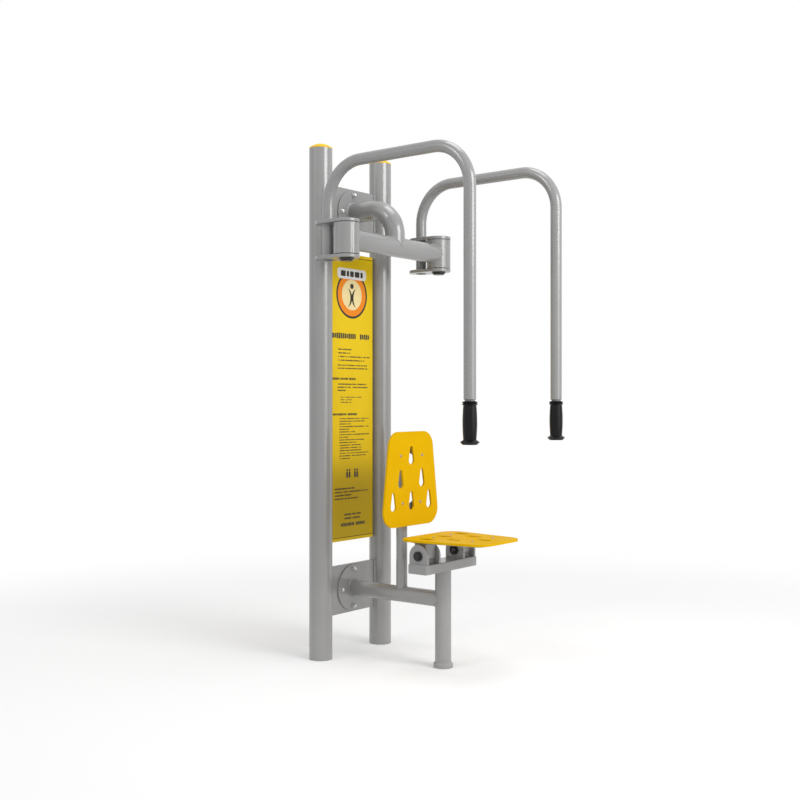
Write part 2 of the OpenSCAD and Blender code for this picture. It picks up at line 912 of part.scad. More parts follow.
module backrest_nuts() {
    nut_h = nut_height_share * board_screw_d;
    color("gainsboro") on_backrest() translate([0, 0, -bracket_back - nut_h]) screw_places()
        hex_nut(board_screw_d);
}

// A flat bar with round ends between two points
module flat_bar(from, to, w) {
    span = to - from;
    len = norm(span);
    translate(from) rotate([0, 0, atan2(span[1], span[0])]) {
        circle(d = w);
        translate([len, 0]) circle(d = w);
        translate([0, -w / 2]) square([len, w]);
    }
}

// Two arched brackets, one over and one under the middle slots, with a boss at each end
module backrest_brackets() {
    color("silver") on_backrest() translate([0, 0, -bracket_back]) {
        linear_extrude(bracket_t) for (i = [0, 1]) {
            rise = i == 0 ? -bracket_rise : bracket_rise;
            difference() {
                both_sides() flat_bar([0, screw_rows[i] + rise], [screw_x[i], screw_rows[i]], bracket_w);
                screw_places() circle(d = board_screw_d);
            }
        }
        translate([0, 0, bracket_t]) screw_places()
            tube_z(boss_d, (boss_d - board_screw_d) / 2, boss_h);
    }
}

module backrest_post() {
    color("silver") difference() {
        translate([0, back_post_y, lower_plate_z])
            tube_z(back_post_d, arm_wall, back_post_top_z - lower_plate_z);
        lower_bar(seat_post_d, 0);
    }
}

module backrest_post_plug() {
    color("black") translate([0, back_post_y, back_post_top_z]) {
        dome(back_post_d, plug_flange_h);
        translate([0, 0, -plug_skirt_h])
            tube_z(back_post_d - 2 * arm_wall, cap_wall, plug_skirt_h);
    }
}

// Panel between the uprights

// The four bolts of the panel, with +Z of each child facing the front
module at_panel_bolts() {
    for (side = [-1, 1], z = rail_z)
        translate([side * (panel_w / 2 - panel_bolt_inset), panel_y + panel_depth, z])
            rotate([90, 0, 0]) children();
}

module panel_bolt_holes() {
    at_panel_bolts() translate([0, 0, -rail_t - over])
        cylinder(d = panel_bolt_d, h = rail_t + sheet_t + 2 * over);
}

// A folded sheet with inward lips behind and a strip across each end of its face
module panel_tray() {
    opening_w = panel_w - 2 * sheet_t - 2 * lip_w;
    opening_h = panel_h - 2 * sheet_t - 2 * lip_w;
    color("gold") {
        difference() {
            translate([-panel_w / 2, panel_y, panel_z]) cube([panel_w, panel_depth, panel_h]);
            translate([sheet_t - panel_w / 2, panel_y + sheet_t, panel_z + sheet_t])
                cube([panel_w - 2 * sheet_t, panel_depth - 2 * sheet_t, panel_h - 2 * sheet_t]);
            translate([-opening_w / 2, panel_y + panel_depth / 2, panel_z + sheet_t + lip_w])
                cube([opening_w, panel_depth, opening_h]);
            panel_bolt_holes();
        }
        for (z = [panel_z, panel_z + panel_h - strip_h])
            translate([-panel_w / 2, panel_y - sheet_t, z]) cube([panel_w, sheet_t, strip_h]);
    }
}

module panel_face() {
    low = strip_h + face_gap;
    color("gold") translate([-panel_w / 2, panel_y - sheet_t, panel_z + low])
        cube([panel_w, sheet_t, panel_h - 2 * low]);
}

// Flat bars welded between the uprights, behind the tray's lips
module panel_rails() {
    color("silver") for (z = rail_z) difference() {
        translate([-post_x, panel_y + panel_depth, z - rail_h / 2])
            cube([post_span_w, rail_t, rail_h]);
        for (side = [-1, 1])
            translate([side * post_x, post_y, z - rail_h]) cylinder(d = post_d, h = 2 * rail_h);
        panel_bolt_holes();
    }
}

module panel_fasteners() {
    nut_h = nut_height_share * panel_bolt_d;
    color("gainsboro") at_panel_bolts() {
        translate([0, 0, -rail_t]) {
            mirror([0, 0, 1]) hex_head(panel_bolt_d);
            cylinder(d = panel_bolt_d, h = rail_t + sheet_t + nut_h);
        }
        translate([0, 0, sheet_t]) hex_nut(panel_bolt_d);
    }
}

post(-1);  // post_left
post(1);  // post_right
post_cap(-1);  // post_cap_left
post_cap(1);  // post_cap_right
mount_plate(upper_plate_z);  // upper_mount_plate
mount_plate(lower_plate_z);  // lower_mount_plate
flange(upper_plate_z, yoke_d);  // upper_flange
flange(lower_plate_z, seat_post_d);  // lower_flange
flange_bolts();
flange_washers();
flange_dome_nuts();
yoke_tube();
crossbar();
hub(-1);  // hub_left
hub(1);  // hub_right
bearing_outer_races();
lower_tube();
seat_post();
seat_post_foot();
seat_beam();
hinge_cheeks();
hinge_pins();
hinge_pin_nuts();
hinge_caps();
backrest_post();
backrest_post_plug();
backrest_brackets();
backrest_board();
backrest_screws();
backrest_nuts();
panel_tray();
panel_face();
panel_rails();
panel_fasteners();
arm_tube(-1);  // arm_tube_left
arm_plates(-1);  // arm_plates_left
axle(-1);  // axle_left
spacer_rings(-1);  // spacer_rings_left
bearing_inner_races(-1);  // bearing_inner_races_left
bearing_balls(-1);  // bearing_balls_left
lock_nut(-1);  // lock_nut_left
hub_cap(-1);  // hub_cap_left
grip_spigot(-1);  // grip_spigot_left
grip(-1);  // grip_left
arm_tube(1);  // arm_tube_right
arm_plates(1);  // arm_plates_right
axle(1);  // axle_right
spacer_rings(1);  // spacer_rings_right
bearing_inner_races(1);  // bearing_inner_races_right
bearing_balls(1);  // bearing_balls_right
lock_nut(1);  // lock_nut_right
hub_cap(1);  // hub_cap_right
grip_spigot(1);  // grip_spigot_right
grip(1);  // grip_right
seat_board();
seat_screws();
seat_carrier();
seat_knuckles();
hinge_bushes();
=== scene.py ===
import json
from math import cos, degrees, pi, radians, sin, sqrt
import bpy
import bmesh
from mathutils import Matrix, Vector


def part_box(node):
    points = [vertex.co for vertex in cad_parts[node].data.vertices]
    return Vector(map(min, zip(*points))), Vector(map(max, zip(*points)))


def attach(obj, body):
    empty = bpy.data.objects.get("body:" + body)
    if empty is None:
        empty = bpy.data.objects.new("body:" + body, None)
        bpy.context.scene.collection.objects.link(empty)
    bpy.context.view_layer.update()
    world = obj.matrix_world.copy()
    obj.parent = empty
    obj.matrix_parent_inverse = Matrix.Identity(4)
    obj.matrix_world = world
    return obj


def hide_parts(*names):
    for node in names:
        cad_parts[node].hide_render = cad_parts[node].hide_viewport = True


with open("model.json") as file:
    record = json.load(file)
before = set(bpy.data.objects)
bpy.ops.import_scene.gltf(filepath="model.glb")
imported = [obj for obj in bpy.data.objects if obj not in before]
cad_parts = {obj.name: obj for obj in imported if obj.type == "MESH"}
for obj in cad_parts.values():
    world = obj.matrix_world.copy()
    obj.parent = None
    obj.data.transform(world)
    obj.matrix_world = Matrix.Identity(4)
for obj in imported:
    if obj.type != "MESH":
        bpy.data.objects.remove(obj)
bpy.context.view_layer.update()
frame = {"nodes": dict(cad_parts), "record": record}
nodes = frame["nodes"]
record = frame["record"]
scene = bpy.context.scene
bodyOf = {node: body for body, members in record["behaviour"]["bodies"].items() for node in members}
slotOf = {part["node"]: part["material_slot"] for part in record["subparts"]}
print("machine loaded:", len(nodes), "nodes")


# Camera: level, from the front left, at a seated person's eye height
cameraSettings = {
    "place": (-3.339, -2.477725, 0.988),
    "turn": -52.0,
    "lens": 50.0,
    "sensor": 36.0,
    "farEnd": 60.0,
}


def addObject(name, data):
    thing = bpy.data.objects.new(name, data)
    scene.collection.objects.link(thing)
    return thing


def addCamera(settings):
    data = bpy.data.cameras.new("photoCamera")
    data.lens = settings["lens"]
    data.sensor_width = settings["sensor"]
    data.clip_end = settings["farEnd"]
    camera = addObject("photoCamera", data)
    camera.location = settings["place"]
    camera.rotation_euler = (radians(90), 0, radians(settings["turn"]))
    scene.camera = camera


addCamera(cameraSettings)
scene.view_settings.view_transform = "Standard"
print("camera placed")


# Helpers for node trees
def newTree(owner):
    owner.use_nodes = True
    owner.node_tree.nodes.clear()
    return owner.node_tree


def addNode(tree, kind, inputs=None, **choices):
    node = tree.nodes.new(kind)
    for name, choice in choices.items():
        setattr(node, name, choice)
    for name, value in (inputs or {}).items():
        node.inputs[name].default_value = value
    return node


def addMath(tree, operation, inputs=None, **choices):
    return addNode(tree, "ShaderNodeMath", inputs, operation=operation, **choices)


# A smooth step between two values of what comes in
def addRamp(tree, inputs):
    return addNode(tree, "ShaderNodeMapRange", inputs, interpolation_type="SMOOTHSTEP")


def join(tree, fromSocket, toSocket):
    tree.links.new(fromSocket, toSocket)


# Each link is a giving node, its output, a taking node and its input
def wire(tree, *links):
    for giver, output, taker, entry in links:
        join(tree, giver.outputs[output], taker.inputs[entry])


# Inputs and outputs are labels, each with its kind of socket
def newGroup(name, treeType, inputs, outputs):
    group = bpy.data.node_groups.new(name, treeType)
    for way, sockets in (("INPUT", inputs), ("OUTPUT", outputs)):
        for label, kind in sockets.items():
            group.interface.new_socket(label, in_out=way, socket_type="NodeSocket" + kind)
    return group, addNode(group, "NodeGroupInput"), addNode(group, "NodeGroupOutput")


# A mesh from a finished net, which is freed
def meshFrom(net, name, material=None):
    mesh = bpy.data.meshes.new(name)
    net.to_mesh(mesh)
    net.free()
    if material:
        mesh.materials.append(material)
    return mesh


# Studio: white surround, pale floor that fades into it, three soft boxes and a lamp overhead.
# Places, widths and heights in metres; each step of a soft box is its low end, high end and power
studioSettings = {
    "floorRadius": 14.0,
    "floorColour": (0.88, 0.88, 0.88, 1),
    "floorLift": 0.165,
    "fadeFrom": 1.0,
    "fadeTo": 3.4,
    "surroundFill": 0.585,
    "frontPlace": (0.0, -3.1),
    "frontWidth": 1.9,
    "frontSteps": [(0.55, 1.15, 5.4), (1.15, 1.85, 8.8), (1.85, 2.65, 27.0), (2.65, 3.60, 40.0)],
    "sidePlace": (-3.0, 1.55),
    "sideWidth": 1.1,
    "sideSteps": [(1.5, 2.3, 1.4), (2.3, 3.3, 2.4)],
    "highPlace": (-3.0, 0.7),
    "highWidth": 0.9,
    "highSteps": [(2.95, 3.9, 21.0)],
    "aim": (0.0, 0.2),
    "overheadPlace": (0.10, -0.25, 4.1),
    "overheadSize": (1.7, 1.2),
    "overheadPower": 24.0,
}


# 1 where the camera sees a surface straight on, mirrored or through something clear
def seenDirectly(tree):
    path = addNode(tree, "ShaderNodeLightPath")
    seen = addMath(tree, "MAXIMUM")
    seenToo = addMath(tree, "MAXIMUM")
    wire(tree,
        (path, "Is Camera Ray", seen, 0), (path, "Is Glossy Ray", seen, 1),
        (seen, 0, seenToo, 0), (path, "Is Transmission Ray", seenToo, 1))
    return seenToo.outputs[0]


def buildSurround(settings):
    world = bpy.data.worlds.new("surround")
    scene.world = world
    tree = newTree(world)
    strength = addNode(tree, "ShaderNodeMapRange", {"To Min": settings["surroundFill"], "To Max": 1.0})
    background = addNode(tree, "ShaderNodeBackground", {"Color": (1, 1, 1, 1)})
    output = addNode(tree, "ShaderNodeOutputWorld")
    join(tree, seenDirectly(tree), strength.inputs["Value"])
    wire(tree, (strength, 0, background, "Strength"), (background, 0, output, "Surface"))


def buildFloor(settings):
    net = bmesh.new()
    bmesh.ops.create_circle(net, cap_ends=True, segments=96, radius=settings["floorRadius"])
    material = bpy.data.materials.new("studioFloor")
    floor = addObject("studioFloor", meshFrom(net, "studioFloor", material))
    tree = newTree(material)
    place = addNode(tree, "ShaderNodeTexCoord")
    distance = addNode(tree, "ShaderNodeVectorMath", operation="LENGTH")
    fade = addRamp(tree, {"From Min": settings["fadeFrom"], "From Max": settings["fadeTo"]})
    paper = addNode(tree, "ShaderNodeBsdfDiffuse", {"Color": settings["floorColour"]})
    lift = addMath(tree, "MULTIPLY", {1: settings["floorLift"]})
    glow = addNode(tree, "ShaderNodeEmission")
    both = addNode(tree, "ShaderNodeAddShader")
    clear = addNode(tree, "ShaderNodeBsdfTransparent")
    mix = addNode(tree, "ShaderNodeMixShader")
    output = addNode(tree, "ShaderNodeOutputMaterial")
    join(tree, seenDirectly(tree), lift.inputs[0])
    wire(tree,
        (place, "Object", distance, 0), (distance, "Value", fade, "Value"), (fade, "Result", mix, 0),
        (lift, 0, glow, "Strength"), (paper, 0, both, 0), (glow, 0, both, 1),
        (both, 0, mix, 1), (clear, 0, mix, 2), (mix, 0, output, "Surface"))


def addLamp(name, place, turn, size, power):
    light = bpy.data.lights.new(name, "AREA")
    light.shape = "RECTANGLE"
    light.size, light.size_y = size
    light.energy = power
    lamp = addObject(name, light)
    lamp.location = place
    lamp.rotation_euler = turn


# A soft box stands upright and brightens towards its top, one lamp for each step
def addSoftBox(name, settings):
    x, y = settings[name + "Place"]
    toward = Vector((settings["aim"][0] - x, settings["aim"][1] - y, 0))
    turn = toward.to_track_quat("-Z", "Y").to_euler()
    for index, (low, high, power) in enumerate(settings[name + "Steps"]):
        size = (settings[name + "Width"], high - low)
        addLamp(f"{name}Box{index}", (x, y, (low + high) / 2), turn, size, power)


def addOverhead(settings):
    addLamp("overhead", settings["overheadPlace"], (0, 0, 0), settings["overheadSize"],
        settings["overheadPower"])


buildSurround(studioSettings)
buildFloor(studioSettings)
addOverhead(studioSettings)
for name in ("front", "side", "high"):
    addSoftBox(name, studioSettings)
print("studio built")


# Shared effects, each a node group
def buildGrain():
    group, given, made = newGroup("fineGrain", "ShaderNodeTree",
        {"Vector": "Vector", "Stretch": "Vector", "Scale": "Float", "Speck Size": "Float"},
        {"Height": "Float", "Speck": "Float"})
    stretch = addNode(group, "ShaderNodeVectorMath", operation="MULTIPLY")
    grain = addNode(group, "ShaderNodeTexNoise", {"Detail": 3.0, "Roughness": 0.55})
    speck = addNode(group, "ShaderNodeTexNoise", {"Detail": 1.0})
    keep = addRamp(group, {"From Min": 0.60, "From Max": 0.74})
    wire(group,
        (given, "Vector", stretch, 0), (given, "Stretch", stretch, 1), (stretch, 0, grain, "Vector"),
        (given, "Scale", grain, "Scale"), (given, "Vector", speck, "Vector"),
        (given, "Speck Size", speck, "Scale"), (speck, "Fac", keep, "Value"),
        (grain, "Fac", made, "Height"), (keep, "Result", made, "Speck"))
    return group


def buildCloud():
    group, given, made = newGroup("softCloud", "ShaderNodeTree",
        {"Vector": "Vector", "Colour": "Color", "Shade": "Color", "Scale": "Float", "Amount": "Float"},
        {"Colour": "Color", "Cloud": "Float"})
    noise = addNode(group, "ShaderNodeTexNoise", {"Detail": 4.0, "Roughness": 0.6})
    spread = addRamp(group, {"From Min": 0.35, "From Max": 0.7})
    part = addMath(group, "MULTIPLY")
    mix = addNode(group, "ShaderNodeMix", data_type="RGBA")
    wire(group,
        (given, "Vector", noise, "Vector"), (given, "Scale", noise, "Scale"),
        (noise, "Fac", spread, "Value"), (spread, "Result", part, 0), (given, "Amount", part, 1),
        (part, 0, mix, "Factor"), (given, "Colour", mix, "A"), (given, "Shade", mix, "B"),
        (mix, "Result", made, "Colour"), (spread, "Result", made, "Cloud"))
    return group


# Lighter rubbed edges
def buildEdge():
    group, given, made = newGroup("rubbedEdge", "ShaderNodeTree",
        {"Width": "Float", "Keenness": "Float"}, {"Mask": "Float"})
    rounder = addNode(group, "ShaderNodeBevel", samples=4)
    place = addNode(group, "ShaderNodeNewGeometry")
    agree = addNode(group, "ShaderNodeVectorMath", operation="DOT_PRODUCT")
    turn = addMath(group, "SUBTRACT", {0: 1.0})
    keen = addMath(group, "MULTIPLY", use_clamp=True)
    wire(group,
        (given, "Width", rounder, "Radius"), (rounder, "Normal", agree, 0), (place, "Normal", agree, 1),
        (agree, "Value", turn, 1), (turn, 0, keen, 0), (given, "Keenness", keen, 1),
        (keen, 0, made, "Mask"))
    return group


# Painted bounce light: surfaces turn lighter toward the ground, where the floor lights them, broken up by
# noise
def buildPaintedBounce():
    group, given, made = newGroup("groundDust", "ShaderNodeTree",
        {"Vector": "Vector", "Reach": "Float", "Amount": "Float"}, {"Mask": "Float"})
    split = addNode(group, "ShaderNodeSeparateXYZ")
    low = addRamp(group, {"From Min": 0.0, "To Min": 1.0, "To Max": 0.0})
    noise = addNode(group, "ShaderNodeTexNoise", {"Scale": 9.0, "Detail": 3.0})
    patchy = addNode(group, "ShaderNodeMapRange", {
        "From Min": 0.3, "From Max": 0.7, "To Min": 0.38, "To Max": 0.56,
    })
    part = addMath(group, "MULTIPLY")
    whole = addMath(group, "MULTIPLY", use_clamp=True)
    wire(group,
        (given, "Vector", split, 0), (split, "Z", low, "Value"), (given, "Reach", low, "From Max"),
        (given, "Vector", noise, "Vector"), (low, "Result", part, 0), (noise, "Fac", patchy, "Value"),
        (patchy, "Result", part, 1), (part, 0, whole, 0), (given, "Amount", whole, 1),
        (whole, 0, made, "Mask"))
    return group


grainGroup = buildGrain()
cloudGroup = buildCloud()
edgeGroup = buildEdge()
paintedBounceGroup = buildPaintedBounce()
print("effects built")


def grey(level):
    return (level, level, level, 1)


# Finishes. Shade is the second tone of the cloud, speck and edge are blended in by their masks.
# Each has the common values where it gives none of its own, and the print's finishes share more
commonLook = {
    "cloudAmount": 0.5, "speckAmount": 0.2, "edgeAmount": 0.5, "edgeWidth": 0.0010, "paintedBounceAmount": 0.0,
    "specular": 0.5, "metallic": 0.0, "stretch": (1, 1, 1),
}
printLook = {
    "speckSize": 1700.0, "edgeAmount": 0.1, "edgeWidth": 0.0003, "roughness": (0.36, 0.48),
    "specular": 0.2, "grainScale": 500.0, "grainDepth": 0.00003,
}
finishSettings = {
    "grey_paint": {
        "colour": (0.268, 0.266, 0.264, 1), "shade": grey(0.250), "cloudScale": 7.0, "speck": grey(0.32),
        "speckSize": 1900.0, "edge": grey(0.38), "edgeAmount": 0.45, "edgeWidth": 0.0012,
        "paintedBounceAmount": 0.95, "roughness": (0.195, 0.207), "specular": 0.9, "grainScale": 160.0,
        "grainDepth": 0.000004,
    },
    "yellow_cap": {
        "colour": (0.82, 0.53, 0.010, 1), "shade": (0.74, 0.45, 0.008, 1), "cloudScale": 14.0,
        "speck": (0.90, 0.66, 0.08, 1), "speckSize": 1600.0, "edge": (0.88, 0.62, 0.05, 1),
        "edgeAmount": 0.3, "roughness": (0.42, 0.55), "specular": 0.25, "grainScale": 700.0,
        "grainDepth": 0.00008,
    },
    "yellow_board": {
        "colour": (0.743, 0.434, 0.0018, 1), "shade": (0.705, 0.404, 0.001, 1), "cloudScale": 9.0,
        "cloudAmount": 0.6, "speck": (0.86, 0.53, 0.006, 1), "speckAmount": 0.22, "speckSize": 1300.0,
        "edge": (0.88, 0.58, 0.01, 1), "edgeWidth": 0.0014, "roughness": (0.46, 0.60), "specular": 0.02,
        "grainScale": 420.0, "grainDepth": 0.00002,
    },
    "panel_yellow": {
        "colour": (0.762, 0.525, 0.0075, 1), "shade": (0.70, 0.47, 0.0055, 1), "cloudScale": 5.0,
        "speck": (0.84, 0.63, 0.06, 1), "speckAmount": 0.15, "speckSize": 1500.0,
        "edge": (0.86, 0.68, 0.12, 1), "roughness": (0.34, 0.46), "specular": 0.15, "grainScale": 160.0,
        "grainDepth": 0.00001,
    },
    "black_plastic": {
        "colour": (0.008, 0.008, 0.009, 1), "shade": grey(0.013), "cloudScale": 25.0,
        "speck": grey(0.022), "speckAmount": 0.3, "speckSize": 2200.0, "edge": grey(0.06),
        "roughness": (0.20, 0.28), "specular": 0.42, "grainScale": 700.0, "grainDepth": 0.00003,
    },
    "black_rubber": {
        "colour": grey(0.006), "shade": grey(0.009), "cloudScale": 18.0, "cloudAmount": 0.7,
        "speck": grey(0.016), "speckSize": 1900.0, "edge": grey(0.03), "edgeAmount": 0.4,
        "edgeWidth": 0.0012, "roughness": (0.17, 0.21), "specular": 0.17, "grainScale": 600.0,
        "grainDepth": 0.00001,
    },
    "stainless": {
        "colour": grey(0.58), "shade": grey(0.47), "cloudScale": 60.0, "cloudAmount": 0.6,
        "speck": grey(0.40), "speckSize": 2600.0, "edge": grey(0.70), "edgeWidth": 0.0006,
        "roughness": (0.22, 0.36), "metallic": 1.0, "grainScale": 900.0, "grainDepth": 0.00004,
        "stretch": (1, 1, 6),
    },
    "plated_steel": {
        "colour": (0.46, 0.465, 0.47, 1), "shade": (0.37, 0.37, 0.36, 1), "cloudScale": 40.0,
        "cloudAmount": 0.7, "speck": grey(0.30), "speckAmount": 0.3, "speckSize": 2000.0,
        "edge": grey(0.60), "edgeWidth": 0.0006, "roughness": (0.30, 0.46), "metallic": 1.0,
        "grainScale": 700.0, "grainDepth": 0.00005, "stretch": (1, 1, 8),
    },
    "bearing_steel": {
        "colour": (0.44, 0.44, 0.45, 1), "shade": (0.36, 0.36, 0.37, 1), "cloudScale": 50.0,
        "cloudAmount": 0.4, "speck": grey(0.30), "speckAmount": 0.15, "speckSize": 2600.0,
        "edge": grey(0.58), "edgeWidth": 0.0005, "roughness": (0.16, 0.26), "metallic": 1.0,
        "grainScale": 1100.0, "grainDepth": 0.00002, "stretch": (1, 1, 10),
    },
    "nylon": {
        "colour": (0.74, 0.72, 0.65, 1), "shade": (0.66, 0.63, 0.55, 1), "cloudScale": 30.0,
        "speck": (0.80, 0.78, 0.72, 1), "speckSize": 1800.0, "edge": (0.82, 0.80, 0.74, 1),
        "edgeAmount": 0.3, "edgeWidth": 0.0006, "roughness": (0.42, 0.55), "specular": 0.35,
        "grainScale": 800.0, "grainDepth": 0.00005,
    },
    "weldGrey": {
        "colour": (0.300, 0.298, 0.296, 1), "shade": grey(0.26), "cloudScale": 60.0, "cloudAmount": 0.6,
        "speck": grey(0.38), "speckAmount": 0.3, "speckSize": 1500.0, "edge": grey(0.40),
        "edgeAmount": 0.2, "edgeWidth": 0.0006, "paintedBounceAmount": 0.3, "roughness": (0.20, 0.30),
        "specular": 0.9, "grainScale": 500.0, "grainDepth": 0.00004,
    },
    "screwGrey": {
        "colour": (0.33, 0.33, 0.32, 1), "shade": grey(0.25), "cloudScale": 90.0, "cloudAmount": 0.6,
        "speck": grey(0.22), "speckAmount": 0.3, "speckSize": 2600.0, "edge": grey(0.48),
        "edgeWidth": 0.0004, "roughness": (0.36, 0.50), "metallic": 1.0, "grainScale": 900.0,
        "grainDepth": 0.00003,
    },
    "printBlack": {
        "colour": (0.030, 0.028, 0.022, 1), "shade": (0.055, 0.050, 0.030, 1), "cloudScale": 30.0,
        "cloudAmount": 0.6, "speck": (0.12, 0.09, 0.02, 1), "edge": (0.05, 0.05, 0.04, 1),
    },
    "printOrange": {
        "colour": (0.80, 0.235, 0.010, 1), "shade": (0.74, 0.20, 0.008, 1), "cloudScale": 30.0,
        "speck": (0.86, 0.36, 0.05, 1), "edge": (0.84, 0.32, 0.03, 1),
    },
    "printWhite": {
        "colour": (0.72, 0.71, 0.68, 1), "shade": (0.66, 0.65, 0.62, 1), "cloudScale": 24.0,
        "cloudAmount": 0.6, "speck": (0.78, 0.77, 0.74, 1), "edge": (0.78, 0.77, 0.74, 1),
    },
    "printCream": {
        "colour": (0.80, 0.66, 0.34, 1), "shade": (0.76, 0.60, 0.26, 1), "cloudScale": 24.0,
        "cloudAmount": 0.6, "speck": (0.84, 0.72, 0.45, 1), "edge": (0.84, 0.72, 0.45, 1),
    },
}
# The printed face's own finish, which gets painted shade toward its ends
finishSettings["panelPrint"] = dict(finishSettings["panel_yellow"])
edgeKeenness = 2.5
bumpStrength = 0.6
# Painted bounce light: the lighter colour near the ground and how high above it it reaches
paintedBounceSettings = {"colour": (0.425, 0.42, 0.412, 1), "reach": 0.50}


# The darker bottom stands in for the backrest's shadow, the darker top for the shade under the hub
# Painted shade: the printed face darkens toward both ends: start height, end height, amount
facePaintedShade = {
    "colour": (0.56, 0.385, 0.006, 1), "low": (0.66, 0.80, 1.0), "high": (1.36, 1.56, 0.55),
}


def blend(tree, mask, amount, first, second):
    part = addMath(tree, "MULTIPLY", {1: amount})
    join(tree, mask, part.inputs[0])
    mix = addNode(tree, "ShaderNodeMix", data_type="RGBA")
    wire(tree, (part, 0, mix, "Factor"))
    join(tree, first, mix.inputs["A"])
    mix.inputs["B"].default_value = second
    return mix.outputs["Result"]


# Painted shade: the colour blended toward the darker one at both ends of the face
def paintShadeAtEnds(tree, place, colour, paintedShade):
    height = addNode(tree, "ShaderNodeSeparateXYZ")
    join(tree, place, height.inputs[0])
    for end, ramp in (("low", (1.0, 0.0)), ("high", (0.0, 1.0))):
        start, stop, amount = paintedShade[end]
        fade = addRamp(tree, {"From Min": start, "From Max": stop, "To Min": ramp[0], "To Max": ramp[1]})
        wire(tree, (height, "Z", fade, "Value"))
        colour = blend(tree, fade.outputs["Result"], amount, colour, paintedShade["colour"])
    return colour


def makeFinish(name, look):
    material = bpy.data.materials.new(name)
    tree = newTree(material)
    place = addNode(tree, "ShaderNodeTexCoord").outputs["Object"]
    cloud = addNode(tree, "ShaderNodeGroup", {
        "Colour": look["colour"], "Shade": look["shade"],
        "Scale": look["cloudScale"], "Amount": look["cloudAmount"],
    }, node_tree=cloudGroup)
    grain = addNode(tree, "ShaderNodeGroup", {
        "Stretch": look["stretch"], "Scale": look["grainScale"], "Speck Size": look["speckSize"],
    }, node_tree=grainGroup)
    edge = addNode(tree, "ShaderNodeGroup", {
        "Width": look["edgeWidth"], "Keenness": edgeKeenness,
    }, node_tree=edgeGroup)
    join(tree, place, cloud.inputs["Vector"])
    join(tree, place, grain.inputs["Vector"])
    colour = cloud.outputs["Colour"]
    colour = blend(tree, grain.outputs["Speck"], look["speckAmount"], colour, look["speck"])
    colour = blend(tree, edge.outputs["Mask"], look["edgeAmount"], colour, look["edge"])
    # Painted bounce light: the colour turns lighter toward the ground
    if look["paintedBounceAmount"]:
        paintedBounce = addNode(tree, "ShaderNodeGroup", {
            "Reach": paintedBounceSettings["reach"], "Amount": look["paintedBounceAmount"],
        }, node_tree=paintedBounceGroup)
        join(tree, place, paintedBounce.inputs["Vector"])
        colour = blend(tree, paintedBounce.outputs["Mask"], 1.0, colour, paintedBounceSettings["colour"])
    # Painted shade on the printed face, darker toward both ends
    if name == "panelPrint":
        colour = paintShadeAtEnds(tree, place, colour, facePaintedShade)
    least, most = look["roughness"]
    gloss = addNode(tree, "ShaderNodeMapRange", {"To Min": least, "To Max": most})
    bump = addNode(tree, "ShaderNodeBump", {"Strength": bumpStrength, "Distance": look["grainDepth"]})
    shader = addNode(tree, "ShaderNodeBsdfPrincipled", {
        "Metallic": look["metallic"], "Specular IOR Level": look["specular"],
    })
    output = addNode(tree, "ShaderNodeOutputMaterial")
    join(tree, colour, shader.inputs["Base Color"])
    wire(tree,
        (cloud, "Cloud", gloss, "Value"), (gloss, "Result", shader, "Roughness"),
        (grain, "Height", bump, "Height"), (bump, "Normal", shader, "Normal"),
        (shader, 0, output, "Surface"))
    return material


def wholeLook(name, own):
    return {**commonLook, **(printLook if name.startswith("print") else {}), **own}


finishes = {name: makeFinish(name, wholeLook(name, own)) for name, own in finishSettings.items()}
for node, slot in slotOf.items():
    mesh = nodes[node].data
    mesh.materials.clear()
    mesh.materials.append(finishes["panelPrint" if node == "panel_face" else slot])
print("finishes assigned")


# Helpers for meshes: distance in metres, angles in degrees
meshSettings = {
    "mergeDistance": 0.00001, "flatAngle": 0.5, "sharpAngle": 30, "turnedAngle": 28, "softAngle": 32,
}


def addPiece(name, mesh, body, replaced=()):
    piece = addObject(name, mesh)
    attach(piece, body)
    if replaced:
        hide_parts(*replaced)
    print(name, len(mesh.polygons), "faces")


def addNet(name, net, finish, body):
    addPiece(name, meshFrom(net, name, finishes[finish]), body)


def evaluated(piece, name):
    bpy.context.view_layer.update()
    graph = bpy.context.evaluated_depsgraph_get()
    mesh = bpy.data.meshes.new_from_object(piece.evaluated_get(graph))
    mesh.name = name
    for modifier in list(piece.modifiers):
        piece.modifiers.remove(modifier)
    return mesh


def mergedCopy(node):
    net = bmesh.new()
    net.from_mesh(nodes[node].data)
    bmesh.ops.remove_doubles(net, verts=net.verts, dist=meshSettings["mergeDistance"])
    flat = radians(meshSettings["flatAngle"])
    bmesh.ops.dissolve_limit(net, angle_limit=flat, verts=net.verts, edges=net.edges)
    mesh = meshFrom(net, node)
    if "custom_normal" in mesh.attributes:
        mesh.attributes.remove(mesh.attributes["custom_normal"])
    mesh.shade_smooth()
    mesh.set_sharp_from_angle(angle=radians(meshSettings["sharpAngle"]))
    return mesh


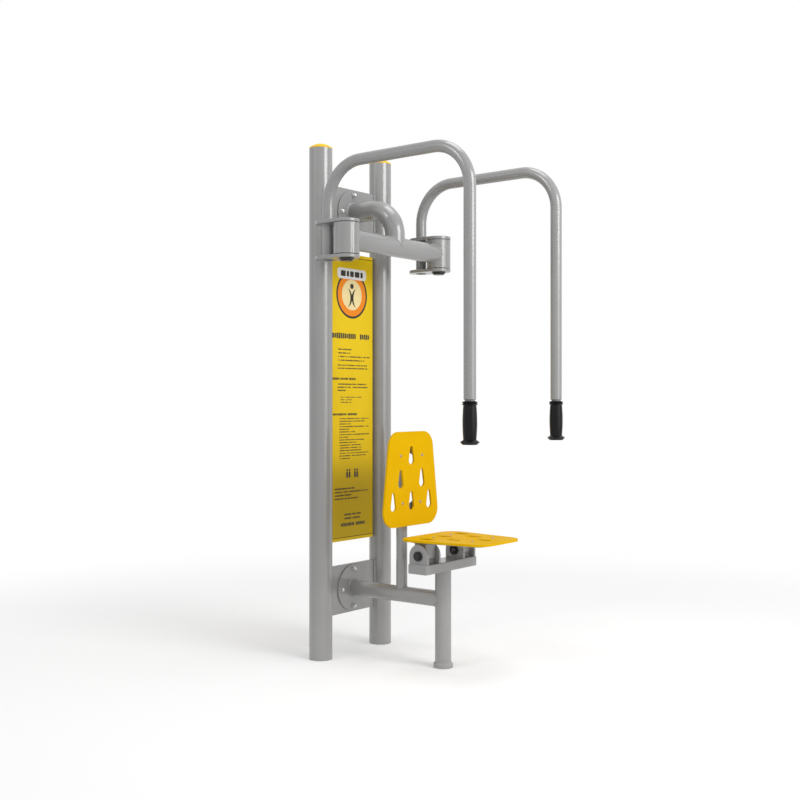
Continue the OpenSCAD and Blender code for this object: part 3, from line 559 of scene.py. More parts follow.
# Machined and moulded edges, each broken by a small radius: width in metres, steps round it
softEdges = {
    "hub_left": (0.0010, 2), "hub_right": (0.0010, 2),
    "arm_plates_left": (0.0022, 3), "arm_plates_right": (0.0022, 3),
    "upper_mount_plate": (0.0010, 2), "lower_mount_plate": (0.0010, 2),
    "upper_flange": (0.0010, 2), "lower_flange": (0.0010, 2),
    "seat_beam": (0.0030, 3), "hinge_cheeks": (0.0014, 3), "seat_knuckles": (0.0012, 2),
    "hub_cap_left": (0.0014, 3), "hub_cap_right": (0.0014, 3),
    "seat_post_foot": (0.0012, 2), "seat_board": (0.0022, 3), "backrest_board": (0.0022, 3),
    "seat_carrier": (0.0008, 2), "backrest_brackets": (0.0010, 2), "backrest_post_plug": (0.0006, 2),
    "panel_tray": (0.0005, 2), "panel_rails": (0.0006, 2), "post_cap_left": (0.0010, 2),
    "post_cap_right": (0.0010, 2), "grip_left": (0.0004, 2), "grip_right": (0.0004, 2),
    "grip_spigot_left": (0.0006, 2), "grip_spigot_right": (0.0006, 2),
}


def soften(node, width, steps):
    piece = addObject(node + "_soft", mergedCopy(node))
    bevel = piece.modifiers.new("softEdge", "BEVEL")
    bevel.width = width
    bevel.segments = steps
    bevel.limit_method = "ANGLE"
    bevel.angle_limit = radians(meshSettings["softAngle"])
    bevel.harden_normals = True
    mesh = evaluated(piece, node + "_soft")
    bpy.data.objects.remove(piece)
    mesh.materials.append(finishes[slotOf[node]])
    addPiece(node + "_soft", mesh, bodyOf[node], [node])


for node, (width, steps) in softEdges.items():
    soften(node, width, steps)
print("edges softened")


# Places and sizes that several pieces share, in metres; the two sides are mirrored
plan = {
    "hubX": 0.284, "hubY": 0.155275, "hubRadius": 0.0475, "crossZ": 1.573, "crossRadius": 0.03805,
    "yokeZ": 1.722, "flangeY": 0.363275, "lowerZ": 0.250, "lowerRadius": 0.03015, "seatY": -0.071725,
    "postX": 0.18, "postY": 0.374275, "postRadius": 0.04445, "plateHeight": 0.190, "plateDepth": 0.010,
    "tailY": 0.243275, "legY": -0.385725, "armRadius": 0.0212,
    "backPostY": 0.122475, "beamLow": 0.361, "beamTop": 0.396,
}


def makeGeometry(name, inputs):
    shared = {"Geometry": "Geometry", "Material": "Material"}
    return newGroup(name, "GeometryNodeTree", {**shared, **inputs}, {"Geometry": "Geometry"})


# The end of every tree: real geometry with its finish
def endGeometry(tree, given, made, socket):
    real = addNode(tree, "GeometryNodeRealizeInstances")
    paint = addNode(tree, "GeometryNodeSetMaterial")
    join(tree, socket, real.inputs["Geometry"])
    wire(tree,
        (real, "Geometry", paint, "Geometry"), (given, "Material", paint, "Material"),
        (paint, "Geometry", made, "Geometry"))


def endSmooth(tree, given, made, socket):
    smooth = addNode(tree, "GeometryNodeSetShadeSmooth")
    join(tree, socket, smooth.inputs["Geometry"])
    endGeometry(tree, given, made, smooth.outputs["Geometry"])


# The socket in use among those of one name, or among all
def openSocket(sockets, name=None):
    return [socket for socket in sockets if socket.enabled and name in (None, socket.name)][0]


def grow(name, base, tree, values, wall=0.0):
    piece = addObject(name, base)
    modifier = piece.modifiers.new(name, "NODES")
    modifier.node_group = tree
    for item in tree.interface.items_tree:
        if item.item_type == "SOCKET" and item.in_out == "INPUT" and item.name in values:
            modifier[item.identifier] = values[item.name]
    if wall:
        shell = piece.modifiers.new("wall", "SOLIDIFY")
        shell.thickness = wall
        shell.offset = -1
    mesh = evaluated(piece, name)
    bpy.data.objects.remove(piece)
    return mesh


def pointMesh(name, verts, edges=(), faces=()):
    mesh = bpy.data.meshes.new(name)
    mesh.from_pydata(verts, edges, faces)
    return mesh


def pathMesh(name, paths):
    verts = []
    edges = []
    for points, closed in paths:
        first = len(verts)
        verts += [tuple(point) for point in points]
        edges += [(first + i, first + i + 1) for i in range(len(points) - 1)]
        if closed:
            edges.append((first + len(points) - 1, first))
    return pointMesh(name, verts, edges)


# Arm tubes: one line of corners, rounded and swept
def buildBentTube():
    tree, given, made = makeGeometry("bentTube", {
        "Bend Radius": "Float", "Tube Radius": "Float", "Bend Steps": "Int", "Ring Steps": "Int",
    })
    line = addNode(tree, "GeometryNodeMeshToCurve")
    fillet = addNode(tree, "GeometryNodeFilletCurve", mode="POLY")
    ring = addNode(tree, "GeometryNodeCurvePrimitiveCircle", mode="RADIUS")
    sweep = addNode(tree, "GeometryNodeCurveToMesh")
    wire(tree,
        (given, "Geometry", line, "Mesh"), (line, "Curve", fillet, "Curve"),
        (given, "Bend Steps", fillet, "Count"), (given, "Bend Radius", fillet, "Radius"),
        (given, "Ring Steps", ring, "Resolution"), (given, "Tube Radius", ring, "Radius"),
        (fillet, "Curve", sweep, "Curve"), (ring, "Curve", sweep, "Profile Curve"))
    endSmooth(tree, given, made, sweep.outputs["Mesh"])
    return tree


armTubeSettings = {
    "bendRadius": 0.15,
    "bendSteps": 26,
    "ringSteps": 72,
    "wall": 0.0026,
    "topZ": 1.853,
    "lowZ": 1.5015,
    "legZ": 0.990,
}


def buildArmTube(side, settings):
    sign = -1 if side == "left" else 1
    x = sign * plan["hubX"]
    corners = [
        (x, plan["tailY"], settings["lowZ"]), (x, plan["tailY"], settings["topZ"]),
        (x, plan["legY"], settings["topZ"]), (x, plan["legY"], settings["legZ"]),
    ]
    base = pathMesh("armPath", [(corners, False)])
    mesh = grow("arm_tube_" + side + "_bent", base, bentTube, {
        "Bend Radius": settings["bendRadius"], "Tube Radius": plan["armRadius"],
        "Bend Steps": settings["bendSteps"], "Ring Steps": settings["ringSteps"],
        "Material": finishes["grey_paint"],
    }, settings["wall"])
    mesh.set_sharp_from_angle(angle=radians(meshSettings["sharpAngle"]))
    addPiece(mesh.name, mesh, "arm_" + side, ["arm_tube_" + side])


bentTube = buildBentTube()
for side in ("left", "right"):
    buildArmTube(side, armTubeSettings)


# Welds: rippled beads along the lines where tubes and plates meet
def buildWeldBead():
    tree, given, made = makeGeometry("weldBead", {
        "Bead Radius": "Float", "Step": "Float", "Ripple Turn": "Float", "Ripple": "Float",
        "Uneven": "Float",
    })
    line = addNode(tree, "GeometryNodeMeshToCurve")
    even = addNode(tree, "GeometryNodeResampleCurve", mode="LENGTH")
    index = addNode(tree, "GeometryNodeInputIndex")
    turn = addMath(tree, "MULTIPLY")
    wave = addMath(tree, "SINE")
    ripple = addMath(tree, "MULTIPLY_ADD", {2: 1.0})
    place = addNode(tree, "GeometryNodeInputPosition")
    noise = addNode(tree, "ShaderNodeTexNoise", {"Scale": 60.0, "Detail": 1.0})
    centred = addMath(tree, "SUBTRACT", {1: 0.5})
    uneven = addMath(tree, "MULTIPLY_ADD")
    radius = addMath(tree, "MULTIPLY")
    ring = addNode(tree, "GeometryNodeCurvePrimitiveCircle", {"Resolution": 10, "Radius": 1.0},
        mode="RADIUS")
    sweep = addNode(tree, "GeometryNodeCurveToMesh", {"Fill Caps": True})
    wire(tree,
        (given, "Geometry", line, "Mesh"), (line, "Curve", even, "Curve"),
        (given, "Step", even, "Length"), (index, "Index", turn, 0), (given, "Ripple Turn", turn, 1),
        (turn, 0, wave, 0), (wave, 0, ripple, 0), (given, "Ripple", ripple, 1),
        (place, "Position", noise, "Vector"), (noise, "Fac", centred, 0), (centred, 0, uneven, 0),
        (given, "Uneven", uneven, 1), (ripple, 0, uneven, 2), (uneven, 0, radius, 0),
        (given, "Bead Radius", radius, 1), (even, "Curve", sweep, "Curve"), (radius, 0, sweep, "Scale"),
        (ring, "Curve", sweep, "Profile Curve"))
    endSmooth(tree, given, made, sweep.outputs["Mesh"])
    return tree


def ringPath(centre, axis, radius, count=72):
    axis = Vector(axis)
    first = axis.orthogonal().normalized()
    second = axis.cross(first)
    angles = [2 * pi * i / count for i in range(count)]
    return [Vector(centre) + radius * (cos(t) * first + sin(t) * second) for t in angles], True


# The line where a tube meets a larger or equal one at a right angle
def meetPath(centre, small, large, smallRadius, largeRadius, count=96):
    small = Vector(small)
    large = Vector(large)
    across = small.cross(large)
    points = []
    for i in range(count):
        t = 2 * pi * i / count
        reach = sqrt(max(largeRadius ** 2 - (smallRadius * sin(t)) ** 2, 0))
        ring = smallRadius * (cos(t) * large + sin(t) * across)
        points.append(Vector(centre) + ring + reach * small)
    return points, True


def linePath(start, end):
    return [Vector(start), Vector(end)], False


def uprightLine(x, y, z, half):
    return linePath((x, y, z - half), (x, y, z + half))


# Bead radius of each kind of joint, and the ripple that all of them have
weldSettings = {
    "flange": 0.0029,
    "tube": 0.0022,
    "plate": 0.0048,
    "small": 0.0020,
    "step": 0.0016,
    "rippleTurn": 2.1,
    "ripple": 0.16,
    "uneven": 0.7,
}

# Where beads lie: gaps and steps are small distances off a surface, half is half of a line's length
weldPlaces = {
    "flangeStep": 0.0020, "flangeGap": 0.0018, "tubeGap": 0.0008, "collarGap": 0.0006, "beamStep": 0.0012,
    "plateSideGap": 0.0002, "plateFaceGap": 0.001, "plateInset": 0.003,
    "railHeights": (0.83975, 1.22), "railReach": 0.0385, "railY": 0.3982, "railHalf": 0.018,
    "cheekFaces": ((0.072, -1), (0.082, 1), (0.143, -1), (0.153, 1)), "cheekGap": 0.0012,
    "cheekHalf": 0.036,
    "bracketHeights": (0.571, 0.8075), "bracketX": 0.0080, "bracketY": 0.1027, "bracketHalf": 0.011,
    "armHeights": (1.6441, 1.5151), "collarZ": 1.6307,
    "knuckleStep": 0.0262, "knuckleEnds": (0.0865, 0.1385), "knuckleZ": 0.4690,
}
alongX, alongY, alongZ = (1, 0, 0), (0, 1, 0), (0, 0, 1)


def frameWelds(at):
    beads = {"flange": [], "tube": [], "plate": [], "small": []}
    cross = plan["crossRadius"]
    lower = plan["lowerRadius"]
    for z, radius in ((plan["yokeZ"], cross), (plan["lowerZ"], lower)):
        centre = (0, plan["flangeY"] - at["flangeStep"], z)
        beads["flange"].append(ringPath(centre, alongY, radius + at["flangeGap"]))
    beads["tube"] += [
        meetPath((0, plan["hubY"], plan["crossZ"]), alongZ, alongX, cross, cross),
        meetPath((0, plan["seatY"], plan["lowerZ"]), alongY, alongZ, lower, lower),
        meetPath((0, plan["backPostY"], plan["lowerZ"]), alongZ, alongY, plan["armRadius"], lower),
    ]
    underBeam = (0, plan["seatY"], plan["beamLow"] - at["beamStep"])
    beads["tube"].append(ringPath(underBeam, alongZ, lower + at["tubeGap"]))
    for sign in (-1, 1):
        hub = (sign * plan["hubX"], plan["hubY"], plan["crossZ"])
        beads["tube"].append(meetPath(hub, (-sign, 0, 0), alongZ, cross, plan["hubRadius"]))
        for z in (plan["yokeZ"], plan["lowerZ"]):
            for face in (-1, 1):
                x = sign * (plan["postX"] - plan["postRadius"] - at["plateSideGap"])
                y = plan["postY"] + face * (plan["plateDepth"] / 2 + at["plateFaceGap"])
                beads["plate"].append(uprightLine(x, y, z, plan["plateHeight"] / 2 - at["plateInset"]))
        for z in at["railHeights"]:
            x = sign * (plan["postX"] - at["railReach"])
            beads["small"].append(uprightLine(x, at["railY"], z, at["railHalf"]))
        for x, side in at["cheekFaces"]:
            place = sign * (x + side * at["cheekGap"])
            low = (place, plan["seatY"] - at["cheekHalf"], plan["beamTop"])
            high = (place, plan["seatY"] + at["cheekHalf"], plan["beamTop"])
            beads["small"].append(linePath(low, high))
        for z in at["bracketHeights"]:
            x = sign * at["bracketX"]
            beads["small"].append(uprightLine(x, at["bracketY"], z, at["bracketHalf"]))
    return beads


def armWelds(sign, at):
    beads = {"tube": [], "small": []}
    rings = [("tube", z, at["tubeGap"]) for z in at["armHeights"]]
    for kind, z, gap in rings + [("small", at["collarZ"], at["collarGap"])]:
        centre = (sign * plan["hubX"], plan["tailY"], z)
        beads[kind].append(ringPath(centre, alongZ, plan["armRadius"] + gap))
    return beads


def seatWelds(at):
    beads = {"small": []}
    for sign in (-1, 1):
        for side in (-1, 1):
            y = plan["seatY"] + side * at["knuckleStep"]
            beads["small"].append(linePath(*[(sign * x, y, at["knuckleZ"]) for x in at["knuckleEnds"]]))
    return beads


def addWelds(name, body, beads, settings):
    net = bmesh.new()
    for kind, paths in beads.items():
        net.from_mesh(grow(name + kind, pathMesh(name + kind, paths), weldBead, {
            "Bead Radius": settings[kind], "Step": settings["step"], "Ripple Turn": settings["rippleTurn"],
            "Ripple": settings["ripple"], "Uneven": settings["uneven"], "Material": finishes["weldGrey"],
        }))
    addNet(name, net, "weldGrey", body)


weldBead = buildWeldBead()
addWelds("frame_welds", "frame", frameWelds(weldPlaces), weldSettings)
addWelds("arm_welds_left", "arm_left", armWelds(-1, weldPlaces), weldSettings)
addWelds("arm_welds_right", "arm_right", armWelds(1, weldPlaces), weldSettings)
addWelds("seat_welds", "seat", seatWelds(weldPlaces), weldSettings)
print("welds laid")


# Fasteners: one turned shape for each kind, set on its places. A ring is a radius, a height
# and, where it is six-sided, the width across its flats
def turned(name, rings, steps=48):
    verts = []
    faces = []
    for radius, z, *flats in rings:
        for i in range(steps):
            angle = 2 * pi * i / steps
            near = radians((degrees(angle) % 60) - 30)
            reach = min([radius] + [across / 2 / cos(near) for across in flats])
            verts.append((reach * cos(angle), reach * sin(angle), z))
    for low in range(0, (len(rings) - 1) * steps, steps):
        for i in range(steps):
            after = (i + 1) % steps
            faces.append((low + i, low + after, low + steps + after, low + steps + i))
    faces.append(tuple(reversed(range(steps))))
    faces.append(tuple(range((len(rings) - 1) * steps, len(rings) * steps)))
    mesh = pointMesh(name, verts, faces=faces)
    mesh.shade_smooth()
    mesh.set_sharp_from_angle(angle=radians(meshSettings["turnedAngle"]))
    return addObject(name, mesh)


def buildPlaceParts():
    tree, given, made = makeGeometry("placeParts", {
        "Part": "Object", "Turn": "Vector", "Spin": "Float", "Seed": "Int",
    })
    part = addNode(tree, "GeometryNodeObjectInfo")
    spin = addNode(tree, "FunctionNodeRandomValue", data_type="FLOAT")
    about = addNode(tree, "ShaderNodeCombineXYZ")
    base = addNode(tree, "FunctionNodeEulerToRotation")
    local = addNode(tree, "FunctionNodeEulerToRotation")
    both = addNode(tree, "FunctionNodeRotateRotation", rotation_space="LOCAL")
    spread = addNode(tree, "GeometryNodeInstanceOnPoints")
    join(tree, given.outputs["Spin"], openSocket(spin.inputs, "Max"))
    join(tree, openSocket(spin.outputs), about.inputs["Z"])
    wire(tree,
        (given, "Part", part, "Object"), (given, "Seed", spin, "Seed"), (about, 0, local, 0),
        (given, "Turn", base, 0), (base, 0, both, 0), (local, 0, both, 1), (both, 0, spread, "Rotation"),
        (given, "Geometry", spread, "Points"), (part, "Geometry", spread, "Instance"))
    endGeometry(tree, given, made, spread.outputs["Instances"])
    return tree


# Boxes of the separate solids of one node
def islandBoxes(node):
    net = bmesh.new()
    net.from_mesh(nodes[node].data)
    bmesh.ops.remove_doubles(net, verts=net.verts, dist=meshSettings["mergeDistance"])
    seen = set()
    boxes = []
    for start in net.verts:
        if start in seen:
            continue
        seen.add(start)
        stack = [start]
        island = []
        while stack:
            vert = stack.pop()
            island.append(vert.co.copy())
            for edge in vert.link_edges:
                other = edge.other_vert(vert)
                if other not in seen:
                    seen.add(other)
                    stack.append(other)
        low = Vector([min(point[i] for point in island) for i in range(3)])
        high = Vector([max(point[i] for point in island) for i in range(3)])
        boxes.append((low, high))
    net.free()
    return boxes


# Turns that point a part's +Z this way
turns = {
    "front": (radians(90), 0, 0), "up": (0, 0, 0),
    "left": (0, radians(-90), 0), "right": (0, radians(90), 0),
}

# Sizes in metres; a share is of the nut's width across flats, its height or the socket's width
fastenerSettings = {
    "spin": 60, "seed": 5,
    "nutFlats": 0.017, "nutGap": 0.0003, "nutFootShare": 0.52, "nutCornerShare": 0.58,
    "nutTopShare": 0.475, "nutFootEdge": 0.0007, "nutTopEdge": 0.0012,
    "domeShare": 0.47, "domeWidthShare": 0.44, "domeStep": 0.0002, "domeRings": 8, "domeEnd": 88,
    "washerRadius": 0.0105, "washerBore": 0.0052, "washerHeight": 0.0015, "washerFoot": 0.0002,
    "washerEdge": 0.0003, "washerStep": 0.0001,
    "headRadius": 0.00525, "headRise": 0.003, "headStart": 28, "headRings": 7, "headCurve": 1.6,
    "headGap": 0.0002, "socketFlats": 0.004, "socketDepth": 0.0018, "socketTip": 0.0004,
    "socketEdge": 0.0003, "socketRimShare": 0.66, "shankRadius": 0.003,
}


def placed(name, places, template, facing, finish):
    return grow(name, pointMesh(name + "_places", places), placeParts, {
        "Part": template, "Turn": turns[facing], "Spin": radians(fastenerSettings["spin"]),
        "Seed": fastenerSettings["seed"], "Material": finishes[finish],
    })


def addFasteners(node, template, facing, seat, finish="stainless"):
    places = []
    for low, high in islandBoxes(node):
        middle = (low + high) / 2
        if facing == "front":
            places.append((middle.x, low.y + seat, middle.z))
        else:
            places.append((middle.x, middle.y, high.z - seat))
    mesh = placed(node + "_set", places, template, facing, finish)
    bpy.data.objects.remove(template)
    addPiece(node + "_set", mesh, bodyOf[node], [node])


def domeNut(own, height):
    flats = own["nutFlats"]
    rise = height * own["domeShare"]
    body = height - own["nutGap"] - rise
    corner = flats * own["nutCornerShare"]
    rings = [(flats * own["nutFootShare"], 0.0, flats), (corner, own["nutFootEdge"], flats),
        (corner, body - own["nutTopEdge"], flats), (flats * own["nutTopShare"], body, flats)]
    for i in range(own["domeRings"]):
        angle = radians(i * own["domeEnd"] / (own["domeRings"] - 1))
        reach = flats * own["domeWidthShare"] * cos(angle)
        rings.append((reach, body + own["domeStep"] + rise * sin(angle)))
    return turned("domeNut", rings)


def socketScrew(own, length):
    flats = own["socketFlats"]
    top = own["headRise"]
    head = own["headRadius"]
    floor = top - own["socketDepth"]
    rings = [(own["socketTip"], floor - own["socketTip"]), (flats, floor, flats),
        (flats, top - own["socketEdge"], flats), (flats * own["socketRimShare"], top)]
    for i in range(own["headRings"]):
        angle = radians(own["headStart"] + i * (90 - own["headStart"]) / (own["headRings"] - 1))
        reach = head * sin(angle)
        rings.append((reach, top * cos(radians(90) * (reach / head) ** own["headCurve"])))
    rings += [(head, -own["headGap"]), (own["shankRadius"], -own["headGap"]), (own["shankRadius"], -length)]
    return turned("socketScrew", list(reversed(rings)))


def plainWasher(own):
    outer = own["washerRadius"]
    bore = own["washerBore"]
    height = own["washerHeight"]
    return turned("plainWasher", [
        (bore, own["washerStep"]), (outer - own["washerFoot"], 0.0), (outer, own["washerFoot"]),
        (outer, height - own["washerEdge"]), (outer - own["washerEdge"], height), (bore, height),
    ])


placeParts = buildPlaceParts()
nutLow, nutHigh = islandBoxes("flange_dome_nuts")[0]
nutHeight = nutHigh.y - nutLow.y
addFasteners("flange_dome_nuts", domeNut(fastenerSettings, nutHeight), "front", nutHeight)
addFasteners("flange_washers", plainWasher(fastenerSettings), "front", fastenerSettings["washerHeight"])
for node, facing, axis in (("seat_screws", "up", 2), ("backrest_screws", "front", 1)):
    low, high = islandBoxes(node)[0]
    headRise = fastenerSettings["headRise"]
    screw = socketScrew(fastenerSettings, high[axis] - low[axis] - headRise)
    addFasteners(node, screw, facing, headRise, "screwGrey")
print("fasteners set")


# Hinge caps: a hollow cap with a raised rim, a groove and a dished crown over the pin's end.
# Steps are in from the rim and up or down, or out from the crown and a share of the groove
capSettings = {
    "wall": 0.0016, "rimLip": 0.0009, "groove": 0.0010, "crownShare": 0.60, "dish": 0.0012,
    "cavityGap": 0.0047, "cavityDepth": 0.0043, "foot": 0.0002, "tip": 0.0004,
    "footSteps": ((0.0004, 0.0002), (0.0, 0.0006)),
    "rimSteps": ((0.0, 0.0010), (0.0004, 0.0003), (0.0012, 0.0), (0.0020, 0.0004)),
    "grooveSteps": ((0.0012, 0.6), (0.0004, 0.4)),
    "crownRound": 0.0022, "crownRings": 6, "crownTurn": 18, "dishShares": (0.52, 0.44),
}


def capRings(own, radius, depth):
    cavity = radius - own["cavityGap"]
    rim = own["cavityDepth"] + own["wall"]
    lip = rim + own["rimLip"]
    crown = radius * own["crownShare"]
    low = depth - own["dish"]
    rings = [(own["tip"], own["cavityDepth"]), (cavity, own["cavityDepth"]), (cavity, own["foot"])]
    rings += [(radius - inward, up) for inward, up in own["footSteps"]]
    rings += [(radius - inward, lip - down) for inward, down in own["rimSteps"]]
    rings += [(crown + outward, rim - own["groove"] * share) for outward, share in own["grooveSteps"]]
    for i in range(own["crownRings"]):
        angle = radians(i * own["crownTurn"])
        reach = crown - own["crownRound"] * (1 - cos(angle))
        rings.append((reach, rim + (depth - rim) * sin(angle)))
    outer, inner = own["dishShares"]
    return rings + [(crown * outer, depth - own["foot"]), (crown * inner, low), (own["tip"], low)]


def addCaps(settings):
    boxes = sorted(islandBoxes("hinge_caps"), key=lambda box: box[0].x)
    radius = (boxes[0][1].z - boxes[0][0].z) / 2
    depth = boxes[0][1].x - boxes[0][0].x
    template = turned("hingeCap", capRings(settings, radius, depth))
    net = bmesh.new()
    for facing, chosen, end in (("left", boxes[0::2], 1), ("right", boxes[1::2], 0)):
        places = [(box[end].x, (box[0].y + box[1].y) / 2, (box[0].z + box[1].z) / 2) for box in chosen]
        net.from_mesh(placed("hinge_caps", places, template, facing, "black_plastic"))
    bpy.data.objects.remove(template)
    mesh = meshFrom(net, "hinge_caps_set", finishes["black_plastic"])
    mesh.set_sharp_from_angle(angle=radians(meshSettings["turnedAngle"]))
    addPiece("hinge_caps_set", mesh, "frame", ["hinge_caps"])


addCaps(capSettings)
print("caps set")


# Panel print: a plain roundel and rows of short strokes
def buildStrokeRows(settings):
    tree, given, made = makeGeometry("strokeRows", {
        "Pitch": "Float", "Stroke Height": "Float", "Depth": "Float", "Fill": "Float", "Seed": "Int",
    })
    line = addNode(tree, "GeometryNodeMeshToCurve")
    even = addNode(tree, "GeometryNodeResampleCurve", mode="LENGTH")
    width = addMath(tree, "MULTIPLY", {1: settings["strokeShare"]})
    size = addNode(tree, "ShaderNodeCombineXYZ")
    cell = addNode(tree, "GeometryNodeMeshCube")
    keep = addNode(tree, "FunctionNodeRandomValue", data_type="BOOLEAN")
    tall = addNode(tree, "FunctionNodeRandomValue", data_type="FLOAT")
    openSocket(tall.inputs, "Min").default_value = settings["leastShare"]
    grown = addNode(tree, "ShaderNodeCombineXYZ", {"X": 1.0, "Y": 1.0})
    spread = addNode(tree, "GeometryNodeInstanceOnPoints")
    join(tree, openSocket(tall.outputs), grown.inputs["Z"])
    join(tree, openSocket(keep.outputs), spread.inputs["Selection"])
    wire(tree,
        (given, "Geometry", line, "Mesh"), (line, "Curve", even, "Curve"),
        (given, "Pitch", even, "Length"), (given, "Pitch", width, 0), (width, 0, size, "X"),
        (given, "Depth", size, "Y"), (given, "Stroke Height", size, "Z"), (size, 0, cell, "Size"),
        (given, "Fill", keep, "Probability"), (given, "Seed", keep, "Seed"), (given, "Seed", tall, "Seed"),
        (even, "Curve", spread, "Points"), (cell, "Mesh", spread, "Instance"), (grown, 0, spread, "Scale"))
    endGeometry(tree, given, made, spread.outputs["Instances"])
    return tree


# Each block of rows: height of its first row, step down, left end, stroke height, row lengths
printSettings = {
    "faceY": 0.370275,
    "thickness": 0.00020,
    "sink": 0.00004,
    "fill": 0.87,
    "pitchShare": 0.50,
    "strokeShare": 0.78,
    "leastShare": 0.62,
    "seed": 11,
    "layerStep": 0.00006,
    "layerBack": 0.00002,
    "blocks": [
        (1.239, 0.0, -0.113, 0.0230, (0.212,)),
        (1.186, 0.0142, -0.083, 0.0064, (0.077, 0.069, 0.188, 0.160)),
        (1.124, 0.0120, -0.086, 0.0058, (0.175, 0.183)),
        (1.071, 0.0, -0.115, 0.0100, (0.134,)),
        (1.050, 0.0122, -0.086, 0.0060, (0.172, 0.180, 0.045)),
        (0.999, 0.0100, -0.070, 0.0042, (0.125, 0.070, 0.063)),
        (0.932, 0.0, -0.113, 0.0106, (0.140,)),
        (0.915, 0.0104, -0.076, 0.0050, (0.175, 0.150, 0.065, 0.175, 0.055, 0.090, 0.178, 0.052,
            0.148, 0.100, 0.126, 0.134, 0.130, 0.174, 0.156, 0.060)),
        (0.641, 0.0, -0.103, 0.0078, (0.115,)),
        (0.628, 0.0130, -0.103, 0.0064, (0.197, 0.096, 0.138)),
        (0.539, 0.0152, -0.044, 0.0092, (0.094, 0.086)),
        (0.500, 0.0, -0.064, 0.0155, (0.137,)),
    ],
}


def printRows(settings):
    net = bmesh.new()
    y = settings["faceY"] - settings["thickness"] / 2 + settings["sink"]
    for index, (top, step, left, height, lengths) in enumerate(settings["blocks"]):
        rows = [linePath((left, y, top - i * step), (left + length, y, top - i * step))
            for i, length in enumerate(lengths)]
        net.from_mesh(grow("rows", pathMesh("rows", rows), strokeRows, {
            "Pitch": height * settings["pitchShare"], "Stroke Height": height,
            "Depth": settings["thickness"], "Fill": settings["fill"], "Seed": index + settings["seed"],
            "Material": finishes["printBlack"],
        }))
    addNet("panel_rows", net, "printBlack", "frame")


# A thin flat shape standing on the panel's face; layers rise one over the other
def addPrint(name, outlines, layer, finish):
    net = bmesh.new()
    front = printSettings["faceY"] - printSettings["layerStep"] * layer
    back = printSettings["faceY"] + printSettings["layerBack"]
    for outline in outlines:
        verts = [net.verts.new((x, front, z)) for x, z in outline]
        rear = [net.verts.new((x, back, z)) for x, z in outline]
        net.faces.new(verts)
        net.faces.new(list(reversed(rear)))
        for i in range(len(outline)):
            after = (i + 1) % len(outline)
            net.faces.new((verts[i], rear[i], rear[after], verts[after]))
    bmesh.ops.recalc_face_normals(net, faces=net.faces)
    addNet(name, net, finish, "frame")


def arcPoints(x, z, radius, start, end, count):
    angles = [radians(start + (end - start) * i / count) for i in range(count + 1)]
    return [(x + radius * cos(t), z + radius * sin(t)) for t in angles]


# A curved stroke that tapers to its ends
def taperStroke(x, z, radius, start, end, width, count=28, blunt=0.04):
    outer = []
    inner = []
    for i in range(count + 1):
        share = i / count
        angle = radians(start + (end - start) * share)
        half = width / 2 * sin(pi * (blunt + (1 - 2 * blunt) * share))
        outer.append((x + (radius + half) * cos(angle), z + (radius + half) * sin(angle)))
        inner.append((x + (radius - half) * cos(angle), z + (radius - half) * sin(angle)))
    return outer + list(reversed(inner))


def roundedBar(x, z, size, radius):
    points = []
    for signX, signZ, start in ((1, 1, 0), (-1, 1, 90), (-1, -1, 180), (1, -1, 270)):
        centreX = x + signX * (size[0] / 2 - radius)
        centreZ = z + signZ * (size[1] / 2 - radius)
        points += arcPoints(centreX, centreZ, radius, start, start + 90, 6)
    return points


# Discs are a share of the roundel's radius and a finish; arcs are first and last angle and steps
emblemSettings = {
    "place": (-0.002, 1.402), "radius": 0.097, "discArc": (0, 354, 59),
    "discs": {"ring": (0.96, "printBlack"), "field": (0.87, "printOrange"), "centre": (0.62, "printCream")},
    "strokePlace": (0.050, -0.012), "strokeRadius": 0.046, "strokeTurns": (38, 142), "strokeWidth": 0.011,
    "dotRise": 0.034, "dotRadius": 0.0105, "dotArc": (0, 345, 24),
    "labelRise": 0.082, "labelSize": (0.174, 0.042), "labelCorner": 0.014,
    "labelBars": (0.028, 0.014, 0.022, 0.028, 0.014), "labelGap": 0.0065, "barHeight": 0.022,
    "barCorner": 0.0035,
}
markSettings = {
    "reach": 0.0235, "shift": 0.0072, "barZ": 0.6945, "barSize": (0.0104, 0.024), "barCorner": 0.0040,
    "dotZ": 0.7125, "dotRadius": 0.0048, "dotArc": (0, 337, 15),
}


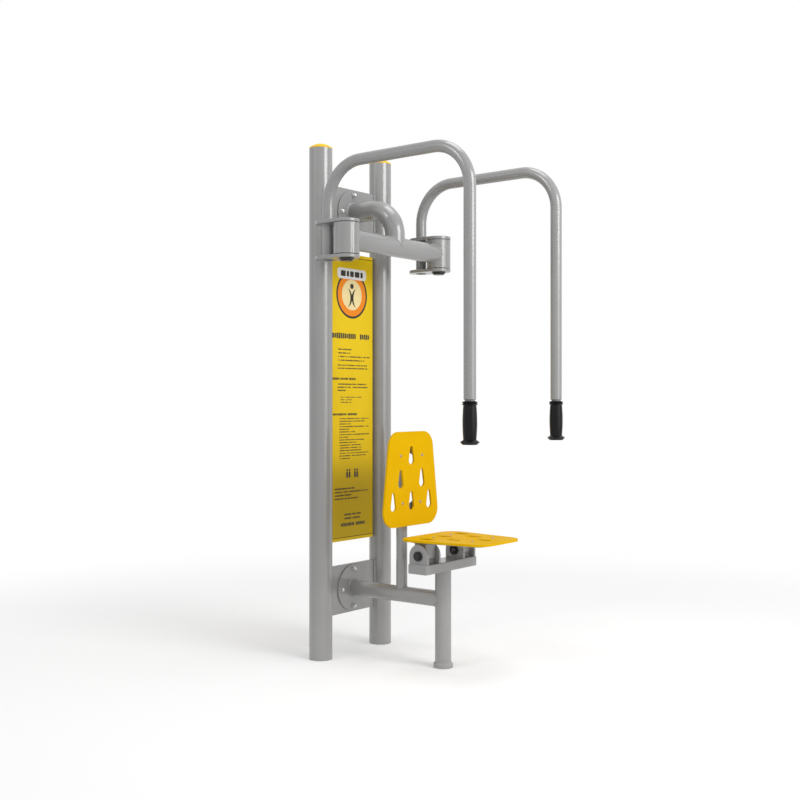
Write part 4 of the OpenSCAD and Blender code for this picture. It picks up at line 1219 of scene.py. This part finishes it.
def printEmblem(own):
    x, z = own["place"]
    for layer, (name, (share, finish)) in enumerate(own["discs"].items(), 1):
        disc = arcPoints(x, z, own["radius"] * share, *own["discArc"])
        addPrint("panel_emblem_" + name, [disc], layer, finish)
    aside, rise = own["strokePlace"]
    start, end = own["strokeTurns"]
    strokes = [taperStroke(x + sign * aside, z + rise, own["strokeRadius"], 90 + sign * start,
        90 + sign * end, own["strokeWidth"]) for sign in (-1, 1)]
    strokes.append(arcPoints(x, z + own["dotRise"], own["dotRadius"], *own["dotArc"]))
    addPrint("panel_emblem_strokes", strokes, 4, "printBlack")
    labelZ = z + own["labelRise"]
    addPrint("panel_label", [roundedBar(x, labelZ, own["labelSize"], own["labelCorner"])], 5, "printWhite")
    bars = []
    left = x - sum(own["labelBars"]) / 2 - own["labelGap"] * (len(own["labelBars"]) - 1) / 2
    for width in own["labelBars"]:
        bars.append(roundedBar(left + width / 2, labelZ, (width, own["barHeight"]), own["barCorner"]))
        left += width + own["labelGap"]
    addPrint("panel_label_bars", bars, 6, "printBlack")


def printMarks(own):
    marks = []
    for sign in (-1, 1):
        for shift in (-own["shift"], own["shift"]):
            x = sign * own["reach"] + shift
            marks.append(roundedBar(x, own["barZ"], own["barSize"], own["barCorner"]))
            marks.append(arcPoints(x, own["dotZ"], own["dotRadius"], *own["dotArc"]))
    addPrint("panel_marks", marks, 1, "printBlack")


# Painted shade: dark strips that fill the two grooves beside the end strips, standing in for the shade in
# them
grooveShadeSettings = {
    "stripHeight": 0.012, "recess": 0.0004, "depth": 0.0010, "sideGap": 0.001, "edge": 0.0003,
    "longEdge": 0.1,
}


def addGrooveShade(settings):
    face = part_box("panel_face")
    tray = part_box("panel_tray")
    strip = settings["stripHeight"]
    net = bmesh.new()
    for low, high in ((tray[0][2] + strip, face[0][2]), (face[1][2], tray[1][2] - strip)):
        middle = ((face[0][0] + face[1][0]) / 2, face[1][1] - settings["recess"], (low + high) / 2)
        made = bmesh.ops.create_cube(net, size=1.0)["verts"]
        size = (face[1][0] - face[0][0] - settings["sideGap"], settings["depth"], high - low)
        bmesh.ops.scale(net, vec=size, verts=made)
        bmesh.ops.translate(net, vec=middle, verts=made)
    edges = [edge for edge in net.edges if edge.calc_length() > settings["longEdge"]]
    bmesh.ops.bevel(net, geom=edges, offset=settings["edge"], segments=2, affect="EDGES")
    addNet("panel_seals", net, "printBlack", "frame")


addGrooveShade(grooveShadeSettings)
strokeRows = buildStrokeRows(printSettings)
printRows(printSettings)
printEmblem(emblemSettings)
printMarks(markSettings)
print("panel printed")
